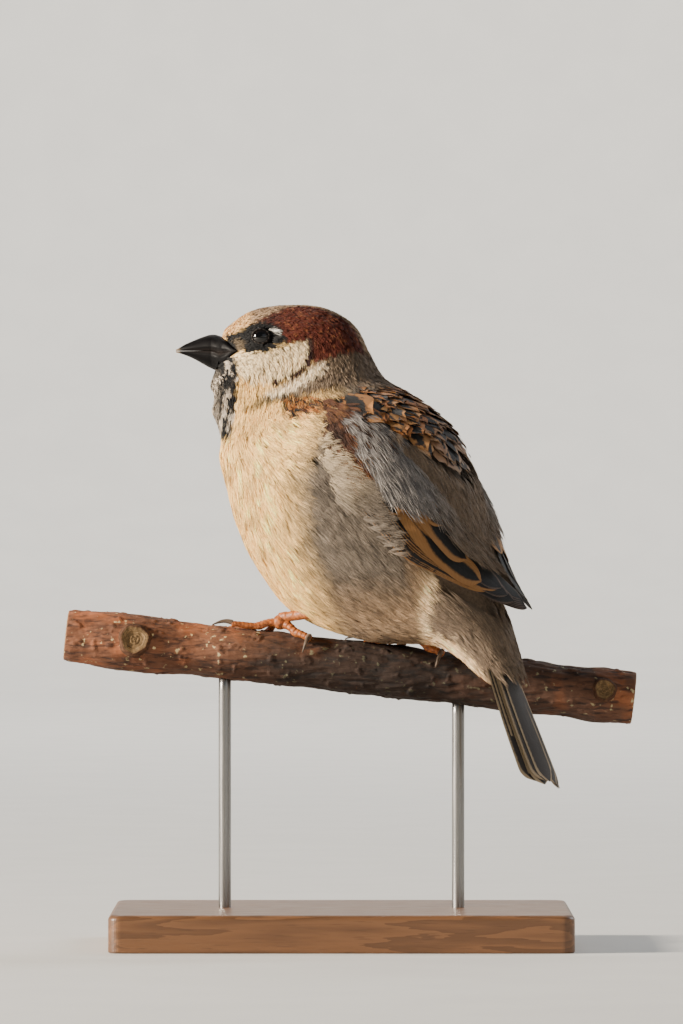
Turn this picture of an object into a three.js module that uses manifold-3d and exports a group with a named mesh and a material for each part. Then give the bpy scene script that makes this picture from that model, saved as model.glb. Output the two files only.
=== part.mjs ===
// A house sparrow, life size, perched on a cut length of branch that a plain display stand holds.
// Millimetres, +Z up. The origin is at the middle of the underside of the stand's base. The branch
// runs along X, and the bird's left side faces -Y. The bird is shaped in a frame of its own, with
// forward, left and up measured from the neck, and then turned to the heading it sits at.

import * as THREE from 'three';
import { mergeVertices } from 'three/addons/utils/BufferGeometryUtils.js';
import Module from 'manifold-3d';

const wasm = await Module();
wasm.setup();

// ---------------------------------------------------------------- driving dimensions

const GAP = 0.3;                        // clearance between pieces that rest on each other
const RAD = Math.PI / 180;

const NECK_PIVOT = [-8.8, 7.3];         // X and Y of the upright axis that the neck turns about
const BODY_HEADING = 28 * RAD;          // how far the body points away from -X, towards +Y
const HEAD_HEADING = 4 * RAD;           // the same for the head, which looks back along the branch

// The body as a row of cross-sections from the bill to the tail. Each has its top and its bottom
// in the bird's plane of symmetry, as [forward, up], and its half width.
const SECTIONS = [
  { at: 'bill base', top: [20.2, 146.9], bottom: [20.2, 138.0], half: 4.2 },
  { at: 'forehead', top: [17.5, 149.3], bottom: [22.4, 137.0], half: 6.6 },
  { at: 'brow', top: [12.5, 152.4], bottom: [22.7, 134.1], half: 8.6 },
  { at: 'crown', top: [4.8, 153.6], bottom: [21.9, 132.4], half: 9.9 },
  { at: 'hind crown', top: [-4.4, 153.0], bottom: [21.9, 130.1], half: 10.6 },
  { at: 'nape', top: [-11.8, 148.9], bottom: [22.4, 127.9], half: 11.2 },
  { at: 'hind neck', top: [-15.8, 141.9], bottom: [21.5, 125.1], half: 12.8 },
  { at: 'neck base', top: [-20.0, 135.8], bottom: [20.6, 121.1], half: 15.5 },
  { at: 'mantle', top: [-28.9, 131.3], bottom: [20.7, 116.0], half: 19.3 },
  { at: 'back', top: [-38.1, 124.1], bottom: [18.5, 109.6], half: 22.0 },
  { at: 'mid back', top: [-43.4, 114.0], bottom: [15.7, 101.0], half: 23.2 },
  { at: 'lower back', top: [-46.5, 104.4], bottom: [10.8, 91.3], half: 22.5 },
  { at: 'rump', top: [-49.0, 94.8], bottom: [0.4, 79.4], half: 19.5 },
  { at: 'vent', top: [-51.6, 85.2], bottom: [-17.5, 73.2], half: 14.5 },
  { at: 'undertail', top: [-54.4, 76.8], bottom: [-37.5, 71.8], half: 9.5 },
  { at: 'tail coverts', top: [-57.7, 67.9], bottom: [-48.2, 64.8], half: 6.0 },
];
const SECTION_SQUARENESS = 2.15;        // 2 is an ellipse, more is fuller at the corners
const BODY_SIDES = 24;                  // facets round the body
const HEAD_END = 5;                   // where the head stops, counted in sections
const NECK_END = 7;                     // where the neck stops
const TURN_FROM = 4;                    // the turn from head to body heading starts here
const TURN_TO = 8.5;                    // and ends here

// A folded wing, left side: its inner edge along the back and its outer edge along the flank,
// from the shoulder to the tip, as [forward, left, up]. Bulge is a share of the width.
const WING = {
  inner: [
    [-15.6, 13.5, 132.4], [-24.6, 12.5, 129.6], [-33.0, 9.5, 122.6], [-40.2, 6.5, 111.6],
    [-47.0, 4.0, 99.4], [-54.2, 2.4, 89.5], [-61.2, 0.6, 82.3],
  ],
  outer: [
    [-8.8, 15.0, 127.9], [-17.5, 22.0, 119.3], [-26.1, 25.0, 109.2], [-38.4, 24.0, 95.3],
    [-46.1, 17.5, 89.8], [-53.8, 9.5, 85.2], [-61.3, 2.0, 81.3],
  ],
  bulge: [0.06, 0.13, 0.15, 0.14, 0.12, 0.09, 0.04],
};
const WING_THICK = [1.6, 2.4, 2.4, 2.0, 0.8];  // from the shoulder to the ends of the tertials
const WING_LENGTH = 70;                 // shoulder to tip along the folded wing
const WING_END = 0.8;                   // share of the wing's length that its coverts and tertials take
const PRIMARY_START = 0.5;              // the long flight feathers show from here to the tip
const PRIMARY_THICK = [1.2, 1.2, 0.9, 0.6];

const TAIL = {
  root: [-44.4, 0, 89.8],               // where the tail feathers leave the body
  down: 66.5 * RAD,                     // how far the tail points below the horizon
  length: 57,
  halfWidth: [6.0, 8.6],                // at the root and at the tip
  thick: [1.8, 1.1],
  arch: 0.7,                            // the middle feathers lie this much above the outer ones
  start: 14,                            // the solid starts this far along, inside the coverts
  outerShorter: 2.0,
  leftShorter: 3.2,                     // the tail is closed a little to one side
};

const BILL = { baseAt: 20.5, length: 10.7, gapeUp: 142.8, tipUp: 142.7 };
const CULMEN = [4.0, 3.75, 3.15, 2.35, 1.45, 0.35];     // height above the gape, base to tip
const GONYS = [4.6, 4.1, 2.95, 1.8, 0.9, 0.3];          // depth below the gape, base to tip
const BILL_HALF = [3.9, 3.45, 2.7, 1.95, 1.15, 0.3];    // half width, base to tip

const EYE = { radius: 2.7, at: [10.35, 7.75, 145.9] };

// The branch: a nearly straight, slightly tilted cylinder with a swelling and two old knots.
const PERCH = { from: -66, to: 70, axisUp: 67.0, fall: 0.111, radius: 6.3 };
const KNOTS = [
  { x: -49.6, angle: -83 * RAD, radius: 3.6, height: 1.1, swell: 0.7, swellLength: 8 },
  { x: 62.8, angle: -78 * RAD, radius: 2.6, height: 0.7, swell: 0.4, swellLength: 5 },
];

const LEG = { shank: 19, shankRadius: [1.25, 1.1], slope: 7 * RAD, rise: 1.1, palm: 1.8, lift: 2.5 };
const FEET = { left: { x: -15.7, arc: -1.0 }, right: { x: 16.1, arc: -1.0 } };
const TOES = {                          // length and direction on the branch, from the heading
  hallux: { length: 6.3, turn: 180, radius: 1.1, claw: 5.2 },
  inner: { length: 8.4, turn: 34, radius: 0.9, claw: 4.0 },
  middle: { length: 12.2, turn: 0, radius: 0.95, claw: 4.4 },
  outer: { length: 9.2, turn: -34, radius: 0.9, claw: 4.0 },
};
const TOE_START = 2.3;                  // from the middle of the palm

const BASE = { length: 110, width: 80, height: 9, corner: 3, chamfer: 1.2 };
const ROD = { radius: 1.5, x: 28, intoBase: 5, intoPerch: 3 };

const COLOURS = {
  plumageBuff: 0xc9b294, crown: 0x8a5a3c, nape: 0x8c7862, wing: 0x6f5e4e, primaries: 0x3a2f2a,
  tail: 0x4a3c32, bill: 0x2e2a2c, eye: 0x0c0a0a, leg: 0xb98263, claw: 0x7b6c60,
  bark: 0x4a3629, wood: 0x8a5f3c, steel: 0x9a9a9c,
};

// ---------------------------------------------------------------- numbers and curves

// A Catmull-Rom curve through evenly spaced values, which are numbers or lists of numbers.
function along(values, t) {
  const last = values.length - 1;
  const place = Math.min(Math.max(t, 0), 1) * last;
  const i = Math.min(Math.floor(place), last - 1);
  const w = place - i;
  const pick = (k) => values[Math.min(Math.max(k, 0), last)];
  const blend = (a, b, c, d) => {
    const v0 = (c - a) / 2;
    const v1 = (d - b) / 2;
    return (2 * b - 2 * c + v0 + v1) * w ** 3 + (-3 * b + 3 * c - 2 * v0 - v1) * w ** 2 + v0 * w + b;
  };
  const [a, b, c, d] = [pick(i - 1), pick(i), pick(i + 1), pick(i + 2)];
  return Array.isArray(b) ? b.map((_, k) => blend(a[k], b[k], c[k], d[k])) : blend(a, b, c, d);
}

const smooth = (t) => {
  const k = Math.min(Math.max(t, 0), 1);
  return k * k * (3 - 2 * k);
};
const power = (value, exponent) => Math.sign(value) * Math.abs(value) ** exponent;
const mix = (a, b, t) => a + (b - a) * t;
const range = (from, to, steps) =>
  Array.from({ length: steps + 1 }, (_, i) => mix(from, to, i / steps));

// From the bird's own frame to the world, at a heading.
function place([forward, left, up], heading = BODY_HEADING) {
  const [c, s] = [Math.cos(heading), Math.sin(heading)];
  return new THREE.Vector3(
    NECK_PIVOT[0] - forward * c - left * s,
    NECK_PIVOT[1] + forward * s - left * c,
    up,
  );
}

// ---------------------------------------------------------------- closed surfaces

// A closed surface through rings of points. Each end is closed by a ladder of triangles between
// the two halves of its ring, which stays inside an arched ring where a fan would not.
function loft(rings) {
  const n = rings[0].length;
  const points = rings.flat();
  const index = [];
  for (let i = 0; i + 1 < rings.length; i += 1) {
    for (let j = 0; j < n; j += 1) {
      const k = (j + 1) % n;
      const [a, b, c, d] = [i * n + j, i * n + k, (i + 1) * n + k, (i + 1) * n + j];
      index.push(a, b, c, a, c, d);
    }
  }
  const last = (rings.length - 1) * n;
  for (let i = 0, k = n - 1; i + 1 < k; i += 1, k -= 1) {
    index.push(i + 1, i, k, last + i, last + i + 1, last + k);
    if (i + 2 < k) index.push(i + 1, k, k - 1, last + i + 1, last + k - 1, last + k);
  }
  const geometry = new THREE.BufferGeometry().setFromPoints(points);
  geometry.setIndex(signedVolume(points, index) < 0 ? index.toReversed() : index);
  return geometry;
}

function signedVolume(points, index) {
  let sum = 0;
  const across = new THREE.Vector3();
  for (let i = 0; i < index.length; i += 3) {
    across.crossVectors(points[index[i + 1]], points[index[i + 2]]);
    sum += points[index[i]].dot(across) / 6;
  }
  return sum;
}

// A tube about a curve whose radius changes along it.
function tube(centres, radiusAt, { steps, sides }) {
  const curve = new THREE.CatmullRomCurve3(centres);
  const frames = curve.computeFrenetFrames(steps, false);
  const rings = range(0, 1, steps).map((t, i) => {
    const centre = curve.getPointAt(t);
    return range(0, 2 * Math.PI, sides).slice(0, -1).map((angle) => centre.clone()
      .addScaledVector(frames.normals[i], radiusAt(t) * Math.cos(angle))
      .addScaledVector(frames.binormals[i], radiusAt(t) * Math.sin(angle)));
  });
  return loft(rings);
}

function solid(geometry) {
  const bare = geometry.clone();
  bare.deleteAttribute('normal');
  bare.deleteAttribute('uv');
  const merged = mergeVertices(bare, 1e-4);
  return new wasm.Manifold(new wasm.Mesh({
    numProp: 3,
    vertProperties: new Float32Array(merged.attributes.position.array),
    triVerts: new Uint32Array(merged.index.array),
  }));
}

// The largest body of a solid, back as a geometry.
function surface(shape) {
  const largest = shape.decompose().reduce((a, b) => (b.volume() > a.volume() ? b : a));
  const mesh = largest.getMesh();
  const geometry = new THREE.BufferGeometry();
  geometry.setAttribute('position', new THREE.BufferAttribute(mesh.vertProperties, 3));
  geometry.setIndex(new THREE.BufferAttribute(mesh.triVerts, 1));
  return geometry;
}

const without = (geometry, cutters) => surface(
  cutters.reduce((shape, cutter) => shape.subtract(solid(cutter)), solid(geometry)),
);

// ---------------------------------------------------------------- head, neck and trunk

// One cross-section of the body at a place counted in sections, moved along its own normal.
function bodyRing(section, shift = 0) {
  const t = section / (SECTIONS.length - 1);
  const top = along(SECTIONS.map((s) => s.top), t);
  const bottom = along(SECTIONS.map((s) => s.bottom), t);
  const half = along(SECTIONS.map((s) => s.half), t);
  const heading = mix(HEAD_HEADING, BODY_HEADING, smooth((section - TURN_FROM) / (TURN_TO - TURN_FROM)));
  const middle = [(top[0] + bottom[0]) / 2, (top[1] + bottom[1]) / 2];
  const reach = [(top[0] - bottom[0]) / 2, (top[1] - bottom[1]) / 2];
  const size = Math.hypot(...reach);
  const rearward = [-reach[1] / size, reach[0] / size];
  const exponent = 2 / SECTION_SQUARENESS;
  return range(0, 2 * Math.PI, BODY_SIDES).slice(0, -1).map((angle) => {
    const c = power(Math.cos(angle), exponent);
    const s = power(Math.sin(angle), exponent);
    return place([
      middle[0] + reach[0] * c + rearward[0] * shift,
      half * s,
      middle[1] + reach[1] * c + rearward[1] * shift,
    ], heading);
  });
}

function bodyPart(from, to, perSection) {
  const last = SECTIONS.length - 1;
  const steps = Math.round((to - from) * perSection);
  const trim = GAP / 2;
  return loft([
    bodyRing(from, from > 0 ? trim : 0),
    ...range(from, to, steps).slice(1, -1).map((section) => bodyRing(section)),
    bodyRing(to, to < last ? -trim : 0),
  ]);
}

// ---------------------------------------------------------------- wings

// A point of the folded wing: a runs from shoulder to tip, c from the inner edge to the outer.
// The edges are joined by a low arch whose height is the bulge. Depth goes inwards from it.
function wingPoint(a, c, depth, side) {
  const inner = new THREE.Vector3(...along(WING.inner, a));
  const outer = new THREE.Vector3(...along(WING.outer, a));
  const ahead = new THREE.Vector3(...along(WING.inner, a + 0.02))
    .add(new THREE.Vector3(...along(WING.outer, a + 0.02)))
    .sub(new THREE.Vector3(...along(WING.inner, a - 0.02)))
    .sub(new THREE.Vector3(...along(WING.outer, a - 0.02)));
  const across = outer.clone().sub(inner);
  const outwards = new THREE.Vector3().crossVectors(ahead, across).normalize();
  if (outwards.y - outwards.x < 0) outwards.negate();
  const arch = along(WING.bulge, a) * across.length() * 4 * c * (1 - c);
  const p = inner.addScaledVector(across, c).addScaledVector(outwards, arch - depth);
  return place([p.x, side * p.y, p.z]);
}

// A slab that follows the wing's surface between two depths. Spread widens it past both edges.
function wingSlab({ from, to, edges, topAt, thickAt, side, spread = 0, raise = 0 }) {
  const steps = Math.round((to - from) * 20);
  const longer = spread / WING_LENGTH;
  const rings = range(from - longer, to + longer, steps).map((a) => {
    const share = Math.min(Math.max((a - from) / (to - from), 0), 1);
    const width = new THREE.Vector3(...along(WING.inner, a))
      .distanceTo(new THREE.Vector3(...along(WING.outer, a)));
    const more = spread / width;
    const stations = range(edges[0] - more, edges[1] + more, 6);
    const top = topAt(share) - raise;
    const under = topAt(share) + thickAt(share) + spread;
    return [
      ...stations.map((c) => wingPoint(a, c, top, side)),
      ...stations.toReversed().map((c) => wingPoint(a, c, under, side)),
    ];
  });
  return loft(rings);
}

const wingThickAt = (share) => along(WING_THICK, share);
const wingForm = (side, extra = {}) => wingSlab({
  from: 0.01, to: WING_END, edges: [0, 1], topAt: () => 0, thickAt: wingThickAt, side, ...extra,
});

// The flight feathers lie under the coverts and tertials, so they start one wing's depth lower.
const primaryForm = (side, extra = {}) => wingSlab({
  from: PRIMARY_START,
  to: 0.995,
  edges: [0.02, 0.98],
  topAt: (share) => {
    const a = mix(PRIMARY_START, 1, share);
    return a > WING_END
      ? mix(wingThickAt(1) + GAP, 0.2, smooth((a - WING_END) / (1 - WING_END)))
      : wingThickAt(a / WING_END) + GAP;
  },
  thickAt: (share) => along(PRIMARY_THICK, share),
  side,
  ...extra,
});

// ---------------------------------------------------------------- tail

// A closed tail: straight sides, a low arch across, and outer feathers a little shorter.
function tailForm({ grow = 0 } = {}) {
  const back = [-Math.cos(TAIL.down), 0, -Math.sin(TAIL.down)];
  const up = [-Math.sin(TAIL.down), 0, Math.cos(TAIL.down)];
  const columns = range(-1, 1, 6);
  const point = (share, c, side) => {
    const length = TAIL.length - TAIL.outerShorter * c * c - TAIL.leftShorter * (1 + c) / 2;
    const run = mix(TAIL.start - grow, length + grow, share);
    const half = mix(...TAIL.halfWidth, run / TAIL.length) + grow;
    const thick = mix(...TAIL.thick, run / TAIL.length) * (1 - 0.45 * c * c) + 2 * grow;
    const rise = -TAIL.arch * c * c + side * thick / 2;
    return place([0, 1, 2].map((k) =>
      TAIL.root[k] + back[k] * run + up[k] * rise + (k === 1 ? half * c : 0)));
  };
  return loft(range(0, 1, 6).map((share) => [
    ...columns.map((c) => point(share, c, 1)),
    ...columns.toReversed().map((c) => point(share, c, -1)),
  ]));
}

// ---------------------------------------------------------------- bill and eyes

// Half a cone: flat along the gape, domed away from it. Sign is +1 above and -1 below.
function billHalf(heights, sign) {
  const rings = range(0, 1, 8).map((t) => {
    const half = along(BILL_HALF, t);
    const height = along(heights, t);
    const gape = mix(BILL.gapeUp, BILL.tipUp, t) + sign * GAP / 2;
    const dome = range(0, Math.PI, 8).map((angle) => place([
      BILL.baseAt + BILL.length * t,
      half * Math.cos(angle),
      gape + sign * height * power(Math.sin(angle), 0.9),
    ], HEAD_HEADING));
    return dome;
  });
  return loft(rings);
}

const eyeBall = (side, radius) => new THREE.SphereGeometry(radius, 12, 9)
  .translate(...place([EYE.at[0], side * EYE.at[1], EYE.at[2]], HEAD_HEADING).toArray());

// ---------------------------------------------------------------- perch

const perchTilt = Math.atan(PERCH.fall);
const perchUp = new THREE.Vector3(Math.sin(perchTilt), 0, Math.cos(perchTilt));
const perchAxis = (x) => new THREE.Vector3(x, 0, PERCH.axisUp - PERCH.fall * x);

// Bark is a little wavy, and the wood swells round a knot.
function perchRadius(x) {
  const wave = 0.12 * Math.sin(x / 5.1) + 0.1 * Math.sin(x / 2.3 + 1);
  const swell = KNOTS.reduce((sum, k) => sum + k.swell * Math.exp(-(((x - k.x) / k.swellLength) ** 2)), 0);
  return PERCH.radius + wave + swell;
}

// A point at an angle round the branch (0 is on top, positive towards +Y), above its bark.
function onPerch(x, angle, lift = 0) {
  const reach = perchRadius(x) + lift;
  return perchAxis(x)
    .addScaledVector(perchUp, reach * Math.cos(angle))
    .add(new THREE.Vector3(0, reach * Math.sin(angle), 0));
}

const perchForm = (lift) => loft(range(PERCH.from, PERCH.to, 26).map((x) =>
  range(0, 2 * Math.PI, 14).slice(0, -1).map((angle) => onPerch(x, angle, lift))));

// The stump of a pruned twig: a short tapered peg that stands out of the bark.
function knotForm({ x, angle, radius, height }) {
  const buried = 2;
  const outwards = onPerch(x, angle).sub(perchAxis(x)).normalize();
  const peg = new THREE.CylinderGeometry(radius * 0.85, radius * 1.1, height + buried, 14);
  peg.applyQuaternion(new THREE.Quaternion().setFromUnitVectors(new THREE.Vector3(0, 1, 0), outwards));
  const centre = onPerch(x, angle, (height - buried) / 2);
  return peg.translate(...centre.toArray());
}

// ---------------------------------------------------------------- legs and feet

// A point on the branch, measured from a foot's palm along a direction on its unrolled bark.
function fromPalm(foot, run, turn, lift) {
  const direction = BODY_HEADING + turn * RAD;
  const x = foot.x - run * Math.cos(direction);
  const arc = foot.arc + run * Math.sin(direction);
  return onPerch(x, arc / (PERCH.radius + lift), lift);
}

// The bare shank, from the palm back to the heel, which is inside the belly feathers.
function legForm(foot, grow = 0) {
  const palm = fromPalm(foot, 0, 0, LEG.lift);
  const direction = place([-1, 0, 0]).sub(place([0, 0, 0])).normalize()
    .multiplyScalar(Math.cos(LEG.slope)).add(new THREE.Vector3(0, 0, Math.sin(LEG.slope)));
  const ankle = palm.clone().add(new THREE.Vector3(0, 0, LEG.rise));
  const centres = range(0, 1, 4).map((t) => ankle.clone().addScaledVector(direction, LEG.shank * t));
  const thin = (t) => mix(...LEG.shankRadius, t) + 0.35 * smooth((t - 0.85) / 0.15) + grow;
  const shank = tube(centres, thin, { steps: 5, sides: 7 });
  const ball = new THREE.SphereGeometry(LEG.palm + grow, 9, 7).translate(...palm.toArray());
  return surface(solid(shank).add(solid(ball)));
}

// A toe lies along the bark, swollen at each joint, and ends where its claw starts.
function toeForm(foot, toe, grow = 0) {
  const end = TOE_START + toe.length;
  const centres = range(0, 1, 6).map((t) => {
    const run = mix(TOE_START - grow, end, t);
    const lift = mix(LEG.lift - 0.2, toe.radius * 0.8 + GAP, smooth(t * 2.2));
    return fromPalm(foot, run, toe.turn, lift);
  });
  const pads = Math.round(toe.length / 3.2);
  const fat = (t) => toe.radius * mix(1, 0.78, t) * (1 + 0.08 * Math.cos(2 * Math.PI * pads * t)) + grow;
  return tube(centres, fat, { steps: 7, sides: 7 });
}

// A claw is a short horn that curls down to the bark. The hind one bends round the branch.
function clawForm(foot, toe, grow = 0) {
  const start = TOE_START + toe.length + 2 * GAP;
  const hind = toe.turn === 180;
  const centres = range(0, 1, 5).map((t) => {
    const low = 0.35 + GAP;
    const arch = toe.radius * 0.7 * (1 - t) + 0.9 * Math.sin(Math.PI * t) * (1 - 0.4 * t);
    const run = start + toe.claw * t * (hind ? 0.35 : 1);
    const p = fromPalm(foot, run, toe.turn, low + arch);
    if (!hind) return p;
    const sag = toe.claw * smooth(t) * 0.85;
    const arc = foot.arc - run * Math.sin(BODY_HEADING) - sag;
    return onPerch(foot.x + run * Math.cos(BODY_HEADING), arc / (PERCH.radius + low + arch), low + arch);
  });
  return tube(centres, (t) => mix(toe.radius * 0.62, 0.18, t) + grow, { steps: 5, sides: 5 });
}

// ---------------------------------------------------------------- stand

// A rectangular plinth with rounded corners and a chamfered top edge.
function baseForm() {
  const outline = (inset, up) => {
    const [x, y, r] = [BASE.length / 2 - inset, BASE.width / 2 - inset, BASE.corner];
    const corners = [[x - r, y - r, 0], [r - x, y - r, 90], [r - x, r - y, 180], [x - r, r - y, 270]];
    return corners.flatMap(([cx, cy, from]) => range(from, from + 90, 3).map((degrees) =>
      new THREE.Vector3(cx + r * Math.cos(degrees * RAD), cy + r * Math.sin(degrees * RAD), up)));
  };
  return loft([
    outline(0, 0),
    outline(0, BASE.height - BASE.chamfer),
    outline(BASE.chamfer, BASE.height),
  ]);
}

const rodFoot = BASE.height - ROD.intoBase;
const rodTop = (x) => perchAxis(x).z - PERCH.radius + ROD.intoPerch;

function rodForm(x, grow = 0) {
  const [low, high] = [rodFoot - grow, rodTop(x) + grow];
  return new THREE.CylinderGeometry(ROD.radius + grow, ROD.radius + grow, high - low, 14)
    .rotateX(Math.PI / 2)
    .translate(x, 0, (low + high) / 2);
}

// ---------------------------------------------------------------- the parts by name

const group = new THREE.Group();

function add(name, geometry, color, { roughness = 0.9, metalness = 0 } = {}) {
  geometry.computeVertexNormals();
  const mesh = new THREE.Mesh(geometry, new THREE.MeshStandardMaterial({ color, roughness, metalness }));
  mesh.name = name;
  group.add(mesh);
}

function addBody() {
  const bothSides = (form) => [1, -1].map(form);
  const feet = Object.values(FEET);
  const cutters = [
    ...bothSides((side) => wingForm(side, { spread: GAP, raise: 2.5 })),
    ...bothSides((side) => primaryForm(side, { spread: GAP, raise: 1.5 })),
    tailForm({ grow: GAP }),
    perchForm(GAP),
    ...feet.map((foot) => legForm(foot, GAP)),
    ...feet.flatMap((foot) => Object.values(TOES).flatMap((toe) => [
      toeForm(foot, toe, GAP),
      clawForm(foot, toe, GAP),
    ])),
  ];
  const eyes = bothSides((side) => eyeBall(side, EYE.radius + GAP));
  add('head', without(bodyPart(0, HEAD_END, 2.4), eyes), COLOURS.crown);
  add('neck', bodyPart(HEAD_END, NECK_END, 2), COLOURS.nape);
  add('trunk', without(bodyPart(NECK_END, SECTIONS.length - 1, 2), cutters), COLOURS.plumageBuff);
}

function addWingsAndTail() {
  for (const [name, side] of [['left', 1], ['right', -1]]) {
    add(`wing_${name}`, wingForm(side), COLOURS.wing);
    add(`primaries_${name}`, primaryForm(side), COLOURS.primaries);
  }
  add('tail', tailForm(), COLOURS.tail);
}

function addFace() {
  add('bill_upper', billHalf(CULMEN, 1), COLOURS.bill, { roughness: 0.45 });
  add('bill_lower', billHalf(GONYS, -1), COLOURS.bill, { roughness: 0.45 });
  add('eye_left', eyeBall(1, EYE.radius), COLOURS.eye, { roughness: 0.05 });
  add('eye_right', eyeBall(-1, EYE.radius), COLOURS.eye, { roughness: 0.05 });
}

function addLegs() {
  for (const [side, foot] of Object.entries(FEET)) {
    add(`leg_${side}`, legForm(foot), COLOURS.leg, { roughness: 0.6 });
    const leg = legForm(foot, GAP);
    const middle = toeForm(foot, TOES.middle, GAP);
    for (const [name, toe] of Object.entries(TOES)) {
      const cutters = ['inner', 'outer'].includes(name) ? [leg, middle] : [leg];
      add(`toe_${side}_${name}`, without(toeForm(foot, toe), cutters), COLOURS.leg, { roughness: 0.6 });
      add(`claw_${side}_${name}`, clawForm(foot, toe), COLOURS.claw, { roughness: 0.4 });
    }
  }
}

function addPerchAndStand() {
  const bark = KNOTS.reduce((shape, knot) => shape.add(solid(knotForm(knot))), solid(perchForm(0)));
  const drills = [-ROD.x, ROD.x].map((x) => rodForm(x, GAP));
  const drilled = (shape) => surface(drills.reduce((rest, drill) => rest.subtract(solid(drill)), shape));
  add('perch', drilled(bark), COLOURS.bark);
  add('stand_base', drilled(solid(baseForm())), COLOURS.wood, { roughness: 0.5 });
  for (const [name, x] of [['left', -ROD.x], ['right', ROD.x]]) {
    add(`stand_rod_${name}`, rodForm(x), COLOURS.steel, { roughness: 0.3, metalness: 1 });
  }
}

addBody();
addWingsAndTail();
addFace();
addLegs();
addPerchAndStand();

export default group;
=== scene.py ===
"""A house sparrow, life size, dressed over its solid model: skin, feathers, bill, eyes and feet,
on a cut length of branch that a plain display stand holds.

Shapes are worked out in millimetres, as the solids are, and written to the meshes in metres. The
bird is shaped in a frame of its own, with forward, left and up measured from the neck, and then
turned to its heading. Feathers are laid on two kinds of form, the body's rings and the folded
wings, by coordinates that run along and round them, so that they follow the body as they lie.
"""

import math
from collections import namedtuple
from functools import partial

import bpy
import numpy as np
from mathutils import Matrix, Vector


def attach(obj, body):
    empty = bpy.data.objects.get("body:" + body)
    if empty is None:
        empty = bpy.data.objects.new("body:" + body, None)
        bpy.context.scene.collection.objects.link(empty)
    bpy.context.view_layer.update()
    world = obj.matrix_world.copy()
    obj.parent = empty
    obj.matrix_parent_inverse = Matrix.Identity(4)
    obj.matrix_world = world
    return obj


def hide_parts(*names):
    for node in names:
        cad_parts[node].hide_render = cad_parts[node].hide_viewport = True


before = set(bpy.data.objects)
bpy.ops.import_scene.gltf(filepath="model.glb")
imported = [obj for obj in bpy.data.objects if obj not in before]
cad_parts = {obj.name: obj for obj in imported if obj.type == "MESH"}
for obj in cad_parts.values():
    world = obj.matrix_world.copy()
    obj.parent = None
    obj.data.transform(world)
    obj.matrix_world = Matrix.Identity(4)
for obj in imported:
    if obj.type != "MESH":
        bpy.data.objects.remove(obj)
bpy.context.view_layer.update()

bl_info = {
    "name": "House sparrow on a perch",
    "version": (1, 0, 0),
    "blender": (4, 5, 0),
    "location": "3D View > Sidebar > Sparrow",
    "description": "Builds a life-size sparrow with modelled feathers on a branch and a display stand",
    "category": "Add Mesh",
}

MM = 0.001
RAD = math.pi / 180
TURN = 2 * math.pi

# ------------------------------------------------------------------ the bird's driving dimensions

NECK_PIVOT = (-8.8, 7.3)
HEAD_HEADING = 4 * RAD
BODY_HEADING = 28 * RAD
TURN_FROM, TURN_TO = 4, 8.5

# Sections from the bill to the tail: top forward and up, bottom forward and up, half width.
SECTIONS = np.array([
    [20.2, 146.9, 20.2, 138.0, 3.9],
    [17.5, 149.3, 21.5, 136.8, 5.6],
    [12.5, 152.4, 22.7, 134.1, 7.7],
    [4.8, 153.6, 21.9, 132.4, 9.9],
    [-4.4, 153.0, 21.9, 130.1, 10.6],
    [-11.8, 148.9, 22.4, 127.9, 11.2],
    [-15.8, 141.9, 21.5, 125.1, 12.8],
    [-20.0, 135.8, 20.6, 121.1, 15.5],
    [-28.9, 131.3, 20.7, 116.0, 19.3],
    [-38.1, 124.1, 18.5, 109.6, 22.0],
    [-43.4, 114.0, 15.7, 101.0, 23.2],
    [-46.5, 104.4, 10.8, 91.3, 22.5],
    [-49.0, 94.8, 0.4, 79.4, 19.5],
    [-51.6, 85.2, -17.5, 73.2, 14.5],
    [-54.4, 76.8, -37.5, 71.8, 9.5],
    [-57.7, 67.9, -48.2, 64.8, 6.0],
])
LAST_SECTION = len(SECTIONS) - 1
SQUARENESS = 2.15
# How far the skin lies under the plumage's outer surface, for each section.
COAT_DEPTH = np.array([0.5, 0.7, 0.9, 1.1, 1.3, 1.6, 2.0, 2.5, 2.9, 3.1, 3.1, 3.1, 3.0, 2.6, 2.0, 1.4])

# The folded wing's two edges from shoulder to tip, and the arch between them as a share of its width.
WING_INNER = np.array([
    [-15.6, 13.5, 132.4], [-24.6, 12.5, 129.6], [-33.0, 9.5, 122.6], [-40.2, 6.5, 111.6],
    [-47.0, 4.0, 99.4], [-54.2, 2.4, 89.5], [-61.2, 0.6, 82.3],
])
WING_OUTER = np.array([
    [-8.8, 15.0, 127.9], [-17.5, 22.0, 119.3], [-26.1, 25.0, 109.2], [-38.4, 24.0, 95.3],
    [-46.1, 17.5, 89.8], [-53.8, 9.5, 85.2], [-61.3, 2.0, 81.3],
])
WING_BULGE = np.array([[0.06], [0.13], [0.15], [0.14], [0.12], [0.09], [0.04]])
WING_STEPS = len(WING_INNER) - 1

TAIL_ROOT = (-44.4, 0.0, 89.8)
TAIL_DOWN = 66.5 * RAD
TAIL_LENGTH = 57.0
TAIL_ARCH = 0.7
TAIL_OUTER_SHORTER = 2.0
TAIL_LEFT_SHORTER = 3.2
TAIL_START, TAIL_HALF, TAIL_VANE_HALF = 6.0, 8.6, 3.5
# How far out the tips of each pair of tail feathers lie, from the middle pair to the outer one.
TAIL_TIPS = np.array([1.3, 3.1, 3.3, 3.5, 4.5, 5.7])

BILL_BASE, BILL_LENGTH = 20.5, 10.7
GAPE_UP, GAPE_TIP_UP = 142.8, 142.7
CULMEN = np.array([[4.0], [3.75], [3.15], [2.35], [1.45], [0.35]])
GONYS = np.array([[4.6], [4.1], [2.95], [1.8], [0.9], [0.3]])
BILL_HALF = np.array([[3.9], [3.45], [2.7], [1.95], [1.15], [0.3]])
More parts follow.
